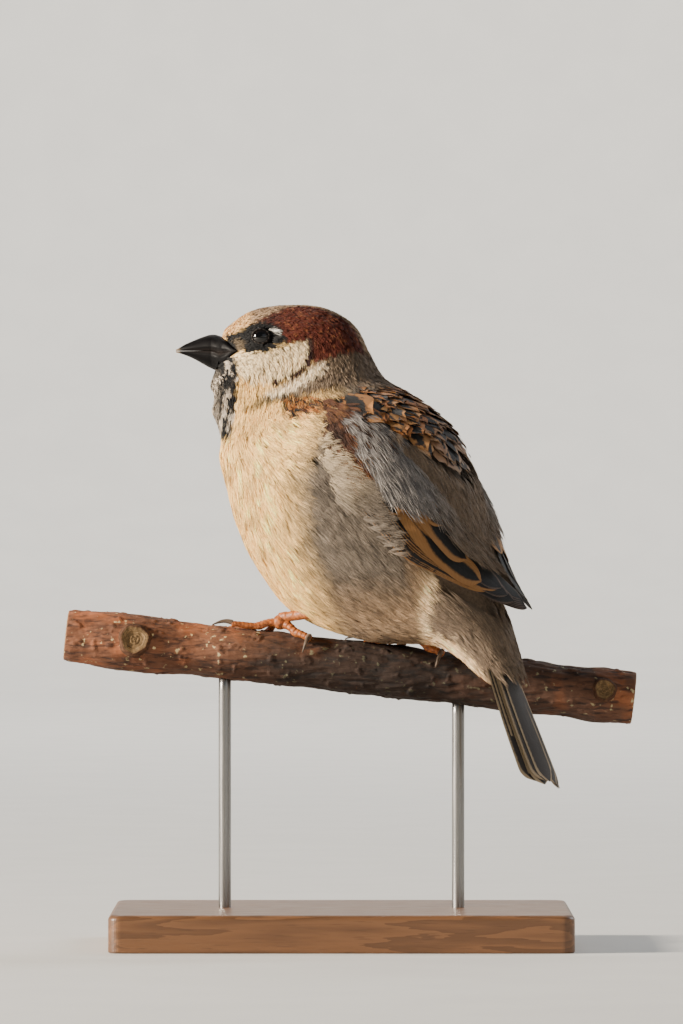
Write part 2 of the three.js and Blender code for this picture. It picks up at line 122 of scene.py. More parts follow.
# The gape's corner lies this share of the bill's length behind its base, and the base flares out to it.
GAPE_CORNER = -0.46
BILL_FLARE = ((-0.46, -0.355, -0.271, -0.178, -0.075, 0.0, 0.06, 0.18), (4.6, 4.2, 3.75, 3.1, 2.3, 1.3, 0.7, 0))

EYE_AT = (10.35, 7.75, 145.9)
EYE_RADIUS = 2.7
EYE_SUNK, EYE_BARE, EYE_SIDES = 0.45, 2.15, 64

PERCH_FROM, PERCH_TO = -66.0, 70.0
PERCH_UP, PERCH_FALL, PERCH_RADIUS = 67.0, 0.111, 6.3
PERCH_CLEARANCE = 0.35
KNOTS = (
    {"x": -49.6, "angle": -83 * RAD, "radius": 3.6, "height": 1.1, "swell": 0.7, "length": 8},
    {"x": 62.8, "angle": -78 * RAD, "radius": 2.6, "height": 0.7, "swell": 0.4, "length": 5},
)

LEG = {"shank": 19.0, "ankle": 1.25, "heel": 1.1, "slope": 7 * RAD, "rise": 1.1, "palm": 1.8, "lift": 2.5}
FEET = ({"x": -15.7, "arc": -1.0}, {"x": 16.1, "arc": -1.0})
TOE_START, TOE_IN_PALM = 2.3, 0.9
TOES = {
    "hallux": {"length": 6.3, "turn": 180, "radius": 1.1, "claw": 5.2},
    "inner": {"length": 8.4, "turn": 34, "radius": 0.9, "claw": 4.0},
    "middle": {"length": 12.2, "turn": 0, "radius": 0.95, "claw": 4.4},
    "outer": {"length": 9.2, "turn": -34, "radius": 0.9, "claw": 4.0},
}

BASE = {"length": 110.0, "width": 80.0, "height": 9.0, "corner": 3.0, "chamfer": 1.2}
ROD_RADIUS, ROD_X, ROD_INTO_BASE, ROD_INTO_PERCH = 1.5, 28.0, 5.0, 3.0

# Plumage markings, as outlines in the bird's side view: ahead of the neck and up, in mm.
ZONES = {
    "cap": [[23.0, 146.0], [20, 150], [14, 154], [5, 156], [-6, 157], [-14, 153], [-17.5, 145], [-15, 142.2],
            [-8, 142.6], [1.6, 145.2], [11, 149.5], [15.6, 148.0], [18.4, 146.2]],
    "nape": [[11.0, 131.0], [6.9, 133.7], [-2.0, 139.2], [-5.6, 141.1], [-8.4, 142.6], [-19, 143.5],
             [-23, 135.5], [-16.1, 134.0], [-9.6, 134.6], [-4.1, 133.2], [1.9, 131.6]],
    "forehead": [[22.5, 145.6], [19.9, 149.6], [16.0, 152.4], [13.4, 152.6], [13.0, 149.3], [15.6, 147.8],
                 [18.4, 146.0]],
    "cheek": [[17.5, 142.0], [13.2, 142.3], [10.3, 142.1], [5.2, 143.8], [1.6, 145.0], [-1.0, 145.2],
              [-1.6, 142.3], [-0.8, 139.9], [1.2, 138.0], [3.6, 136.6], [8.4, 135.1], [13.2, 134.6],
              [16.2, 137.5]],
    "cheek_edge": [[-0.6, 146.0], [-1.2, 145.6], [-2.2, 142.4], [-1.4, 139.4], [0.9, 137.3], [3.4, 136.0],
                   [7.4, 134.8], [8.4, 135.3], [3.8, 136.8], [1.6, 138.2], [-0.3, 140.1], [-1.0, 142.4]],
    "chestnut": [[13.2, 148.4], [9.4, 150.8], [5.6, 152.7], [0.4, 155.0], [-6.5, 156.3], [-14.3, 153.0],
                 [-17.4, 145.0], [-14.2, 142.1], [-8.4, 142.3], [-5.6, 140.9], [-2.0, 139.2], [-1.5, 144.0],
                 [-1.0, 145.4], [1.6, 145.2], [5.0, 144.5], [5.7, 146.6], [7.9, 148.6], [10.3, 149.5]],
    "mask": [[18.9, 146.4], [16.0, 147.2], [13.9, 148.6], [11.2, 149.6], [8.4, 149.3], [6.0, 147.8],
             [4.5, 145.2], [6.9, 143.3], [10.3, 142.2], [13.9, 142.4], [16.0, 143.0], [18.0, 141.8],
             [20.6, 142.8]],
    "lore": [[17.2, 145.2], [15.6, 145.7], [14.4, 144.2], [14.8, 142.6], [16.8, 142.8]],
    "spot": [[8.4, 148.0], [6.9, 147.9], [5.9, 147.0], [6.2, 146.5], [7.0, 147.3], [8.3, 147.5]],
    "bib": [[21.0, 142.3], [17.0, 141.0], [15.8, 137.5], [16.4, 132.0], [16.9, 127.9], [17.8, 121.7],
            [28, 121.7], [28, 142.3]],
    "band": [[10.3, 132.7], [4.8, 134.6], [0.0, 137.5], [-4.1, 140.4], [-5.3, 138.7], [-1.7, 135.4],
             [3.6, 132.7], [8.4, 131.3]],
    "collar": [[14.8, 129.4], [8.4, 131.6], [2.0, 132.9], [1.8, 131.9], [8.4, 130.2], [14.6, 128.4]],
    "shoulder": [[5.5, 131.3], [1.2, 131.8], [-4.6, 131.3], [-3.4, 127.7], [1.2, 127.2], [5.0, 126.0]],
    "mantle": [[2.2, 132.2], [-4.1, 134.2], [-9.6, 136.2], [-18.1, 138.0], [-30, 136], [-43, 121.2],
               [-44.0, 111.6], [-36.0, 115.4], [-32.0, 118.1], [-25.2, 121.9], [-18.8, 125.0],
               [-14.2, 127.9], [-4.6, 130.1]],
    "undertail": [[-27.2, 90.0], [-33.6, 88.6], [-35.3, 78.0], [-44.0, 62.0], [-28.4, 66.8],
                  [-25.8, 80.4]],
    "gape": [[26, 146.8], [20.8, 146.4], [17.5, 144.1], [15.7, 142.8], [17.6, 141.7], [20.0, 140.6],
             [22.0, 139.2], [26, 138.4]],
    "tail_side": [[-30.0, 92.5], [-46, 92.5], [-56.0, 83], [-56, 61], [-44.5, 63.5], [-40.0, 70.0],
                  [-36.3, 75.8], [-33.2, 82.0]],
}

# How many millimetres each marking takes to fade out at its outline.
SOFT_EDGES = {"cap": 0.5, "nape": 0.9, "forehead": 0.6, "cheek": 0.4, "chestnut": 0.35, "mask": 0.35, "lore": 0.5,
              "spot": 0.15, "bib": 0.5, "band": 0.6, "collar": 0.35, "shoulder": 0.5, "undertail": 1.4,
              "tail_side": 0.5, "cheek_edge": 0.2}

# Where the pale breast begins to turn into the darker flank, whose darkness is partly its grey-beige and partly painted
# shade where the body turns from the light: how far ahead of the neck, for heights.
BREAST_EDGE = ((70, 80, 88, 95, 105, 112, 118, 124, 130), (-15, -11, -7, -3.5, -2.5, -2, -4.5, -8, -12))


# ------------------------------------------------------------------ what a user would change

def linear(hex_colour):
    """An sRGB hex colour as linear red, green and blue."""
    parts = np.array([int(hex_colour[k:k + 2], 16) for k in (1, 3, 5)]) / 255
    return tuple(float(x) for x in np.where(parts <= 0.04045, parts / 12.92, ((parts + 0.055) / 1.055) ** 2.4))


def length_prop(name, millimetres, description):
    """A length that the sidebar shows, given here in millimetres."""
    return bpy.props.FloatProperty(name=name, description=description, default=millimetres * MM,
                                   unit="LENGTH", subtype="DISTANCE", precision=5)


def colour_prop(name, hex_colour, description):
    """A colour that the sidebar shows, given here as sRGB hex."""
    return bpy.props.FloatVectorProperty(name=name, description=description, default=linear(hex_colour),
                                         size=3, min=0, max=1, subtype="COLOR")


class SparrowSizes(bpy.types.PropertyGroup):
    """Sizes of the feathers and of the studio."""

    head_spacing: length_prop("Head feather spacing", 0.54, "Distance between feather roots on the head")
    face_length: length_prop("Face feather length", 1.9, "Length of the feathers round the bill and eye")
    head_length: length_prop("Head feather length", 3.2, "Length of the feathers on the crown and nape")
    body_spacing: length_prop("Body feather spacing", 1.12, "Distance between feather roots on the body")
    body_length: length_prop("Body feather length", 8.2, "Length of the loose breast and flank feathers")
    barb_width: length_prop("Barb width", 0.2, "Width of one loose barb at its widest")
    drape_length: length_prop("Back feather length", 10.0, "Length of the loose feathers that cover the wing")
    mantle_spacing: length_prop("Mantle feather spacing", 2.5, "Distance between streaked mantle feathers")
    eye_opening: length_prop("Eye opening", 3.7, "Width of the opening between the eyelids")
    camera_distance: length_prop("Camera distance", 2000, "From the camera to the middle of the stand")
    camera_height: length_prop("Camera height", 103.9, "Height of the camera over the floor")
    frame_height: length_prop("Picture height", 245.76, "Height that the camera sees at that distance")


class PlumageColours(bpy.types.PropertyGroup):
    """Colours of the feathers, each at the middle of its vane."""

    breast: colour_prop("Breast", "#F8CC80", "Cream-buff of the breast")
    # The flank's grey-beige is darkened by painted shade, as the flank turns away from the light.
    flank: colour_prop("Flank", "#655A4E", "Grey-beige of the flanks")
    belly: colour_prop("Belly", "#8A7054", "Pale belly")
    undertail: colour_prop("Undertail", "#F2D2A6", "Undertail coverts")
    crown: colour_prop("Crown", "#A08468", "Grey-buff middle of the crown")
    forehead: colour_prop("Forehead", "#E4B67C", "Cream feathers over the bill")
    chestnut: colour_prop("Chestnut", "#5A2210", "Band from the eye to the neck side")
    chestnut_dark: colour_prop("Dark chestnut", "#2C0F08", "Chestnut near the eye and at the cheek")
    chestnut_tip: colour_prop("Chestnut tips", "#9C5F3A", "Worn buff tips over the chestnut")
    black: colour_prop("Black", "#0E0B0A", "Mask, bib and feather centres")
    bib_tip: colour_prop("Bib tips", "#D2C2AE", "Pale tips over the bib")
    cheek: colour_prop("Cheek", "#FBE0B2", "Pale cheek")
    lore: colour_prop("Lore", "#64543F", "Grey spot before the eye")
    spot: colour_prop("Eye spot", "#EDE7DC", "White spot behind the eye")
    nape: colour_prop("Nape", "#7C6955", "Grey-brown nape and neck side")
    band: colour_prop("Neck band", "#FFE8C4", "Pale band under the cheek")
    back: colour_prop("Back", "#7C6A58", "Grey-brown lower back and rump")
    drape: colour_prop("Scapular grey", "#625D5B", "Loose grey feathers over the wing")
    drape_tip: colour_prop("Scapular tips", "#ABA29A", "Pale ends of the loose grey feathers")
    mantle_orange: colour_prop("Mantle orange", "#92541F", "Orange edges of the mantle feathers")
    mantle_buff: colour_prop("Mantle buff", "#AE7A42", "Paler edges of the mantle feathers")
    covert: colour_prop("Lesser coverts", "#43230F", "Chestnut shoulder of the wing")
    covert_edge: colour_prop("Covert edges", "#966A3C", "Buff edges of coverts and tertials")
    flight: colour_prop("Flight feathers", "#2B2320", "Dark vane of the flight feathers")
    flight_edge: colour_prop("Flight feather edges", "#54443A", "Thin pale edges of the flight feathers")
    tail: colour_prop("Tail", "#241B15", "Dark brown tail")
    tail_edge: colour_prop("Tail edges", "#A08A6C", "Pale edges of the tail feathers")


class PartColours(bpy.types.PropertyGroup):
    """Colours of the bare parts, the branch, the stand and the studio."""

    bill: colour_prop("Bill", "#0A0809", "Slate-black horn")
    bill_ridge: colour_prop("Bill ridge", "#2C2521", "Worn, paler ridge of the upper bill")
    bill_tip: colour_prop("Bill tip", "#8F7C66", "Thin, pale horn at the tip")
    iris: colour_prop("Iris", "#100A07", "Dark brown iris")
    lid: colour_prop("Eyelid", "#2A2522", "Bare grey eyelid")
    leg: colour_prop("Leg", "#A8602F", "Pinkish brown leg skin")
    claw: colour_prop("Claw", "#6F5F52", "Brown horn claw")
    bark: colour_prop("Bark", "#4A3325", "Brown bark")
    bark_dark: colour_prop("Bark cracks", "#1F1510", "Dark cracks and the branch's shaded grain")
    bark_red: colour_prop("Young bark", "#74492E", "Redder, younger bark")
    lichen: colour_prop("Lichen", "#8E8C6E", "Grey-green specks on the bark")
    cut_wood: colour_prop("Cut wood", "#A98860", "Weathered wood at cuts")
    base: colour_prop("Base wood", "#7E5636", "Oiled walnut")
    steel: colour_prop("Steel", "#9C9B99", "Drawn steel rod")
    backdrop: colour_prop("Backdrop", "#DCDAD5", "Matt card sweep")


# ------------------------------------------------------------------ curves and forms

def smooth(t):
    """Eases from 0 to 1: three t squared less two t cubed."""
    k = np.clip(t, 0, 1)
    return k * k * (3 - 2 * k)


def blend(a, b, share):
    """The straight mix of two values: a at share 0, and b at share 1."""
    return a + (b - a) * share


def spline(rows, place):
    """A Catmull-Rom curve through evenly spaced rows, carried on straight past both ends."""
    rows = np.asarray(rows, float)
    last = len(rows) - 1
    place = np.asarray(place, float)
    inside = np.clip(place, 0, last)
    i = np.minimum(inside.astype(int), last - 1)
    w = (inside - i)[..., None]
    a, b, c, d = rows[np.maximum(i - 1, 0)], rows[i], rows[i + 1], rows[np.minimum(i + 2, last)]
    v0, v1 = (c - a) / 2, (d - b) / 2
    curve = (2 * b - 2 * c + v0 + v1) * w ** 3 + (-3 * b + 3 * c - 2 * v0 - v1) * w ** 2 + v0 * w + b
    past = (place - inside)[..., None]
    return curve + past * np.where(past > 0, rows[last] - rows[last - 1], rows[1] - rows[0])


def unit(vectors):
    """The vectors at length one."""
    return vectors / np.maximum(np.linalg.norm(vectors, axis=-1, keepdims=True), 1e-12)


def dot(a, b):
    """The scalar product along the last axis."""
    return (a * b).sum(-1)


def to_world(local, heading):
    """Turns forward, left and up about the neck pivot to a heading."""
    c, s = np.cos(heading), np.sin(heading)
    forward, left, up = local[..., 0], local[..., 1], local[..., 2]
    return np.stack([NECK_PIVOT[0] - forward * c - left * s, NECK_PIVOT[1] + forward * s - left * c, up], -1)


def side_view(local, heading):
    """Ahead, up and out: how far ahead of the neck a point shows from the bird's side, its height and
    its distance from the bird's plane of symmetry. Both sides give the same values."""
    out = np.abs(local[..., 1])
    return local[..., 0] * np.cos(heading) + out * np.sin(heading), local[..., 2], out


def heading_of(local, heading):
    """Turns a direction, rather than a place, from forward, left and up to a heading."""
    return to_world(local, heading) - to_world(np.zeros(3), heading)


def body_local(section, angle):
    """A ring of the body: its middle, plus half its height times the cosine of the angle and half its
    width times the sine, both squared off a little. The angle is 0 on top and grows to the left."""
    q = spline(SECTIONS, section)
    top, bottom, half = q[..., 0:2], q[..., 2:4], q[..., 4]
    exponent = 2 / SQUARENESS
    c, s = np.cos(angle), np.sin(angle)
    high = (np.sign(c) * np.abs(c) ** exponent)[..., None]
    middle = (top + bottom) / 2 + (top - bottom) / 2 * high
    return np.stack([middle[..., 0], half * np.sign(s) * np.abs(s) ** exponent, middle[..., 1]], -1)


def body_heading(section):
    """The head's heading eases into the body's along the neck."""
    return blend(HEAD_HEADING, BODY_HEADING, smooth((section - TURN_FROM) / (TURN_TO - TURN_FROM)))


def wing_local(along, across, side):
    """The folded wing: a straight line from the inner edge to the outer one, plus a parabola's arch
    along the outward normal, which carries on inwards past both edges."""
    inner, outer = spline(WING_INNER, along * WING_STEPS), spline(WING_OUTER, along * WING_STEPS)
    step = 0.02 * WING_STEPS
    ahead = sum(spline(edge, along * WING_STEPS + step) - spline(edge, along * WING_STEPS - step)
                for edge in (WING_INNER, WING_OUTER))
    span = outer - inner
    outwards = unit(np.cross(ahead, span))
    outwards *= np.where(outwards[..., 1:2] - outwards[..., 0:1] < 0, -1, 1)
    width = np.linalg.norm(span, axis=-1)
    arch = spline(WING_BULGE, along * WING_STEPS)[..., 0] * width * 4 * across * (1 - across)
    return (inner + span * across[..., None] + outwards * arch[..., None]) * [1, side, 1]


# A form has point(u, v) and view(u, v), its side view, the spans of u and v, and the sign that turns its normal out.
Form = namedtuple("Form", "point view u_span v_span turn")
BODY = Form(lambda u, v: to_world(body_local(u, v), body_heading(u)),
            lambda u, v: side_view(body_local(u, v), body_heading(u)), (0, LAST_SECTION), (0, TURN), -1)


def wing_form(side):
    """The left wing's form for side 1, the right one's for side -1."""
    return Form(lambda u, v: to_world(wing_local(u, v, side), BODY_HEADING),
                lambda u, v: side_view(wing_local(u, v, side), BODY_HEADING), (0, 1), (0, 1), -side)


WINGS = {"left": wing_form(1), "right": wing_form(-1)}


def tangents(form, u, v):
    """The form's rates of change along u and v, by small steps."""
    step = 1e-3
    along = (form.point(u + step, v) - form.point(u - step, v)) / (2 * step)
    across = (form.point(u, v + step) - form.point(u, v - step)) / (2 * step)
    return along, across


def raised(form, u, v, height):
    """A point at a height over a form, along its outward normal."""
    along, across = tangents(form, u, v)
    normal = unit(np.cross(along, across)) * form.turn
    return form.point(u, v) + normal * height[..., None]


# The plastic number's inverse and its square: multiples of the two spread evenly over a unit square.
LATTICE = (0.7548776662, 0.5698402910)


def scatter(form, spacing, rng, u_span=None, v_span=None):
    """Evenly spread places on a form. A lattice in the unit square is carried to the form by its running
    area: first along u, and then along v in that row."""
    rows, columns = 160, 240
    u_edges = np.linspace(*(u_span or form.u_span), rows + 1)
    v_edges = np.linspace(*(v_span or form.v_span), columns + 1)
    u_mid, v_mid = np.meshgrid((u_edges[1:] + u_edges[:-1]) / 2, (v_edges[1:] + v_edges[:-1]) / 2, indexing="ij")
    along, across = tangents(form, u_mid, v_mid)
    cell = (u_edges[1] - u_edges[0]) * (v_edges[1] - v_edges[0])
    area = np.linalg.norm(np.cross(along, across), axis=-1) * cell
    count = int(area.sum() / spacing ** 2)
    lattice = (np.arange(count)[:, None] * LATTICE + rng.random(2)) % 1
    row_area = np.concatenate([[0], np.cumsum(area.sum(1))])
    place = np.interp(lattice[:, 0] * row_area[-1], row_area, np.arange(rows + 1))
    row = np.minimum(place.astype(int), rows - 1)
    u = u_edges[0] + place * (u_edges[1] - u_edges[0])
    shares = np.concatenate([np.zeros((rows, 1)), np.cumsum(area, 1)], 1)
    shares /= shares[:, -1:]
    ladder = (shares + np.arange(rows)[:, None]).ravel()
    found = np.interp(row + np.clip(lattice[:, 1], 1e-6, 1 - 1e-6), ladder, np.arange(len(ladder)))
    v = v_edges[0] + (found - row * (columns + 1)) * (v_edges[1] - v_edges[0])
    return u, v


def moved(form, roots, x, y):
    """The form's coordinates at x along and y across each feather from its root. The pair is turned by
    the feather's lie and divided by the form's own rates at the root, to give steps in u and v."""
    along, across = tangents(form, roots.u, roots.v)
    pace = np.linalg.norm(along, axis=-1)
    skew = dot(across, along) / pace
    breadth = np.sqrt(np.maximum(dot(across, across) - skew ** 2, 1e-9))
    c, s = np.cos(roots.lie), np.sin(roots.lie)
    shape = (-1,) + (1,) * (x.ndim - 1)
    c, s, pace, skew, breadth, u, v = (a.reshape(shape) for a in (c, s, pace, skew, breadth, roots.u, roots.v))
    ahead, aside = x * c - y * s, x * s + y * c
    v_step = aside / breadth
    return u + (ahead - v_step * skew) / pace, v + v_step


def lay(form, roots, x, y, height):
    """Feather points on a form, x along and y across from the root and raised to a height."""
    return raised(form, *moved(form, roots, x, y), height)


def zone(name, q, z, soft):
    """1 inside a marking's outline and 0 outside, easing over its soft edge, from the signed distance
    to the nearest side of the outline."""
    corners = np.array(ZONES[name], float)
    ends = np.roll(corners, -1, 0)
    p = np.stack([q, z], -1)[..., None, :]
    side = ends - corners
    share = np.clip(dot(p - corners, side) / dot(side, side), 0, 1)
    distance = np.linalg.norm(p - corners - side * share[..., None], axis=-1).min(-1)
    spans = (corners[:, 1] > p[..., 1]) != (ends[:, 1] > p[..., 1])
    rise = np.where(np.abs(side[:, 1]) < 1e-9, 1e-9, side[:, 1])
    crossing = corners[:, 0] + (p[..., 1] - corners[:, 1]) / rise * side[:, 0]
    inside = (spans & (p[..., 0] < crossing)).sum(-1) % 2 == 1
    return smooth(0.5 + np.where(inside, distance, -distance) / (2 * soft))


def ripple(points, scale, seed, octaves=3):
    """Smooth noise between about -1 and 1: sums of sines in seeded directions, finer in each octave."""
    rng = np.random.default_rng(seed)
    total = np.zeros(points.shape[:-1])
    for octave in range(octaves):
        directions = unit(rng.normal(size=(7, points.shape[-1]))) * rng.uniform(0.7, 1.4, (7, 1))
        waves = np.sin(points @ directions.T * (TURN / scale * 2 ** octave) + rng.uniform(0, TURN, 7))
        total += waves.sum(-1) / 3.2 * 0.55 ** octave
    return total


# ------------------------------------------------------------------ meshes

Part = namedtuple("Part", "points faces layers uvs")


def joined(parts):
    """Several parts as one: points stacked, faces renumbered, and layers and maps stacked by name."""
    starts = np.cumsum([0] + [len(p.points) for p in parts[:-1]])
    return Part(np.concatenate([p.points for p in parts]),
                np.concatenate([p.faces + k for p, k in zip(parts, starts)]),
                {key: np.concatenate([p.layers[key] for p in parts]) for key in parts[0].layers},
                {key: np.concatenate([p.uvs[key] for p in parts]) for key in parts[0].uvs})


def grid_faces(rows, columns, wrap=False):
    """Quads over a grid of points, closed round the columns where it wraps."""
    across = columns if wrap else columns - 1
    i, j = np.meshgrid(np.arange(rows - 1), np.arange(across), indexing="ij")
    k = (j + 1) % columns
    return np.stack([i * columns + j, i * columns + k, (i + 1) * columns + k, (i + 1) * columns + j],
                    -1).reshape(-1, 4)


def triangles(quads):
    """Each quad as two triangles."""
    return np.concatenate([quads[:, [0, 1, 2]], quads[:, [0, 2, 3]]])


def outward(part):
    """The part with its faces turned so that its signed volume is positive."""
    a, b, c = (part.points[part.faces[:, k]] for k in range(3))
    return part if dot(a, np.cross(b, c)).sum() > 0 else part._replace(faces=part.faces[:, ::-1])


def closed_tube(rings):
    """Rings of points as one closed surface of triangles, with a fan about the middle of each end."""
    count, around = rings.shape[:2]
    points = np.concatenate([rings.reshape(-1, 3), [rings[0].mean(0)], [rings[-1].mean(0)]])
    j = np.arange(around)
    k = (j + 1) % around
    low, high, last = count * around, count * around + 1, (count - 1) * around
    start = np.stack([k, j, np.full(around, low)], -1)
    end = np.stack([j + last, k + last, np.full(around, high)], -1)
    sides = triangles(grid_faces(count, around, wrap=True))
    return outward(Part(points, np.concatenate([sides, start, end]), {}, {}))


def tinted(part, colour, ends=None):
    """The part with one colour, or a colour for each point and for its two ends, in its plumage layer."""
    if ends is not None:
        colour = np.concatenate([np.reshape(colour, (-1, 3)), ends])
    return part._replace(layers={"plumage": np.array(np.broadcast_to(colour, (len(part.points), 3)))})


def placed(centre, axes, *amounts):
    """A centre, plus each axis times its amount, for whole grids of amounts."""
    return centre + sum(axis * amount[..., None] for axis, amount in zip(axes, amounts))


def make_piece(name, part, material, replaces=(), smooth_faces=True):
    """A Blender object from a part, in metres, which rides on the root body."""
    mesh = bpy.data.meshes.new(name)
    faces = np.asarray(part.faces, np.int32)
    count, corners = faces.shape
    mesh.vertices.add(len(part.points))
    mesh.vertices.foreach_set("co", np.asarray(part.points * MM, np.float32).ravel())
    mesh.loops.add(count * corners)
    mesh.loops.foreach_set("vertex_index", faces.ravel())
    mesh.polygons.add(count)
    mesh.polygons.foreach_set("loop_start", np.arange(0, count * corners, corners, dtype=np.int32))
    mesh.polygons.foreach_set("use_smooth", np.full(count, smooth_faces))
    for key, values in part.layers.items():
        layer = mesh.attributes.new(key, "FLOAT_COLOR", "POINT")
        if values.shape[-1] == 3:
            values = np.concatenate([values, np.ones((len(values), 1))], -1)
        layer.data.foreach_set("color", np.asarray(values, np.float32).ravel())
    for key, values in part.uvs.items():
        layer = mesh.uv_layers.new(name=key)
        layer.data.foreach_set("uv", np.asarray(values[faces.ravel()], np.float32).ravel())
    mesh.update(calc_edges=True)
    mesh.validate()
    mesh.materials.append(material)
    piece = bpy.data.objects.new(name, mesh)
    bpy.context.scene.collection.objects.link(piece)
    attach(piece, "root")
    if replaces:
        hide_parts(*replaces)
    return piece


# ------------------------------------------------------------------ materials

def set_inputs(tree, node, inputs):
    """Gives a node's inputs their values or links: by name or number, or the first ones in order."""
    for key, value in (inputs.items() if isinstance(inputs, dict) else enumerate(inputs)):
        if isinstance(value, bpy.types.NodeSocket):
            tree.links.new(value, node.inputs[key])
        else:
            node.inputs[key].default_value = value


def add_node(tree, kind, inputs=(), output=0, **settings):
    """Adds a shader node with its settings and its inputs' values and links, and gives back an output."""
    node = tree.nodes.new("ShaderNode" + kind)
    for key, value in settings.items():
        setattr(node, key, value)
    set_inputs(tree, node, inputs)
    return node.outputs[output]


def new_material(name, **sockets):
    """A material with values set on its shader's own sockets, a function that adds a node to it, and
    one that gives its shader's inputs their links."""
    material = bpy.data.materials.new(name)
    material.use_nodes = True
    tree = material.node_tree
    set_shader = partial(set_inputs, tree, tree.nodes["Principled BSDF"])
    set_shader({key.replace("_", " "): value for key, value in sockets.items()})
    return material, partial(add_node, tree), set_shader


EASED = {"interpolation_type": "SMOOTHSTEP"}
COLOUR = {"data_type": "RGBA", "output": 2}
SHADE = {"data_type": "RGBA", "output": 2, "blend_type": "MULTIPLY"}
PLUMAGE = {"attribute_name": "plumage", "output": "Color"}
# The range that noise mostly keeps to.
LOW, HIGH = 0.3, 0.7


def rgba(colour, share=1.0):
    """A property's colour, or a share of it, with full opacity."""
    return (*(share * c for c in colour[:]), 1.0)


def noise(add, millimetres, detail=3.0, stretch=(1, 1, 1)):
    """Noise on Object coordinates whose lumps are about this many millimetres across."""
    place = add("Mapping", {"Vector": add("TexCoord", output="Object"), "Scale": stretch})
    return add("TexNoise", {"Vector": place, "Scale": 1 / (millimetres * MM), "Detail": detail})


def dappled(add, colour, shade):
    """A colour made lighter or darker by a grey shade."""
    return add("Mix", {0: 1.0, 6: colour, 7: add("CombineColor", (shade, shade, shade))}, **SHADE)


def down_material():
    """Contour feathers, grown: loose keratin barbs. Matt with a faint sheen, each barb a little lighter
    or darker than the next."""
    material, add, set_shader = new_material("contour_feather_barbs_grown", Roughness=0.75, Sheen_Weight=0.12,
                                             Sheen_Roughness=0.5, Specular_IOR_Level=0.25)
    fleck = add("MapRange", (noise(add, 0.5, 2.0), LOW, HIGH, 0.86, 1.12), **EASED)
    set_shader({"Base Color": dappled(add, add("Attribute", **PLUMAGE), fleck)})
    return material


def vane_material(name, barb_mm, shaft, edge_soft, gloss, thin_end=4.0, waver=0.15, dark_from=-1.0, blotch=0.0):
    """A vaned feather, grown: a dark middle and a paler edge whose limit wavers from barb to barb, fine
    slanting barbs, and a shaft down the middle. Soft satin, as the barbs are locked together. The
    middle's half width is in the alpha of its colour, and its length in mm in that of the edge's. The
    middle widens from dark_from along the vane, and blotch breaks it up into patches."""
    material, add, set_shader = new_material(name, Roughness=gloss, Sheen_Weight=0.08, Sheen_Roughness=0.5,
                                             Specular_IOR_Level=0.35)
    middle, edge = (add("Attribute", attribute_name=key).node.outputs for key in ("plumage", "plumage_edge"))
    place, along, _ = add("SeparateXYZ", [add("UVMap", uv_map="vane")]).node.outputs
    doubled = add("Math", (place, 2.0), operation="MULTIPLY")
    across = add("Math", [add("Math", (doubled, 1.0), operation="SUBTRACT")], operation="ABSOLUTE")
    length_mm = add("Math", (edge["Alpha"], 100.0), operation="MULTIPLY")
    millimetres = add("Math", (along, length_mm), operation="MULTIPLY")
    slant = add("Math", (millimetres, add("Math", (across, 2.2), operation="MULTIPLY")), operation="SUBTRACT")
    barbs = add("Math", [add("Math", (slant, TURN / barb_mm), operation="MULTIPLY")], operation="SINE")
    reach = across
    for lump_mm, detail, share in ((0.7, 2.0, waver), (2.6, 1.0, blotch)):
        if share:
            uneven = add("Math", (noise(add, lump_mm, detail), 0.5), operation="SUBTRACT")
            reach = add("Math", (reach, add("Math", (uneven, share), operation="MULTIPLY")), operation="ADD")
    end = add("Math", (add("Math", (along, thin_end), operation="POWER"), 0.75), operation="MULTIPLY")
    reach = add("Math", (reach, end), operation="ADD")
    widening = add("MapRange", (along, dark_from, dark_from + 0.3, 0.0, 1.0), **EASED)
    limit = add("Math", (middle["Alpha"], widening), operation="MULTIPLY")
    past = add("Math", (reach, limit), operation="SUBTRACT")
    share = add("MapRange", (past, -edge_soft, edge_soft, 0.0, 1.0), **EASED)
    colour = add("Mix", {0: share, 6: middle["Color"], 7: edge["Color"]}, **COLOUR)
    colour = dappled(add, colour, add("MapRange", (barbs, -1.0, 1.0, 0.92, 1.05), **EASED))
    on_shaft = add("MapRange", (across, 0.02, 0.08, 0.4, 0.0), **EASED)
    set_shader({"Base Color": add("Mix", {0: on_shaft, 6: colour, 7: (*linear(shaft), 1.0)}, **COLOUR),
                "Normal": add("Bump", {"Height": barbs, "Strength": 1.0, "Distance": 0.03 * MM})})
    return material


def skin_material():
    """Skin under the coat, covered with down: matt and soft, a shade darker than the feathers over it."""
    material, add, set_shader = new_material("downy_skin_grown", Roughness=0.9)
    fluff = add("MapRange", (noise(add, 0.8), LOW, HIGH, 0.7, 1.0), **EASED)
    set_shader({"Base Color": dappled(add, add("Attribute", **PLUMAGE), fluff),
                "Normal": add("Bump", {"Height": fluff, "Strength": 1.0, "Distance": 0.3 * MM})})
    return material


def horn_material(name, roughness, grain_mm, stretch, depth_mm, gloss=0.14):
    """Keratin horn, grown in layers: satin, with fine growth lines and small worn patches. Its colour
    comes from the piece."""
    material, add, set_shader = new_material(name, Roughness=roughness, IOR=1.54, Specular_IOR_Level=gloss)
    lines = noise(add, grain_mm, 4.0, stretch)
    wear = add("MapRange", (lines, 0.35, HIGH, 0.75, 1.35), **EASED)
    set_shader({"Base Color": dappled(add, add("Attribute", **PLUMAGE), wear),
                "Roughness": add("MapRange", (lines, LOW, HIGH, roughness - 0.08, roughness + 0.14), **EASED),
                "Normal": add("Bump", {"Height": lines, "Strength": 1.0, "Distance": depth_mm * MM})})
    return material


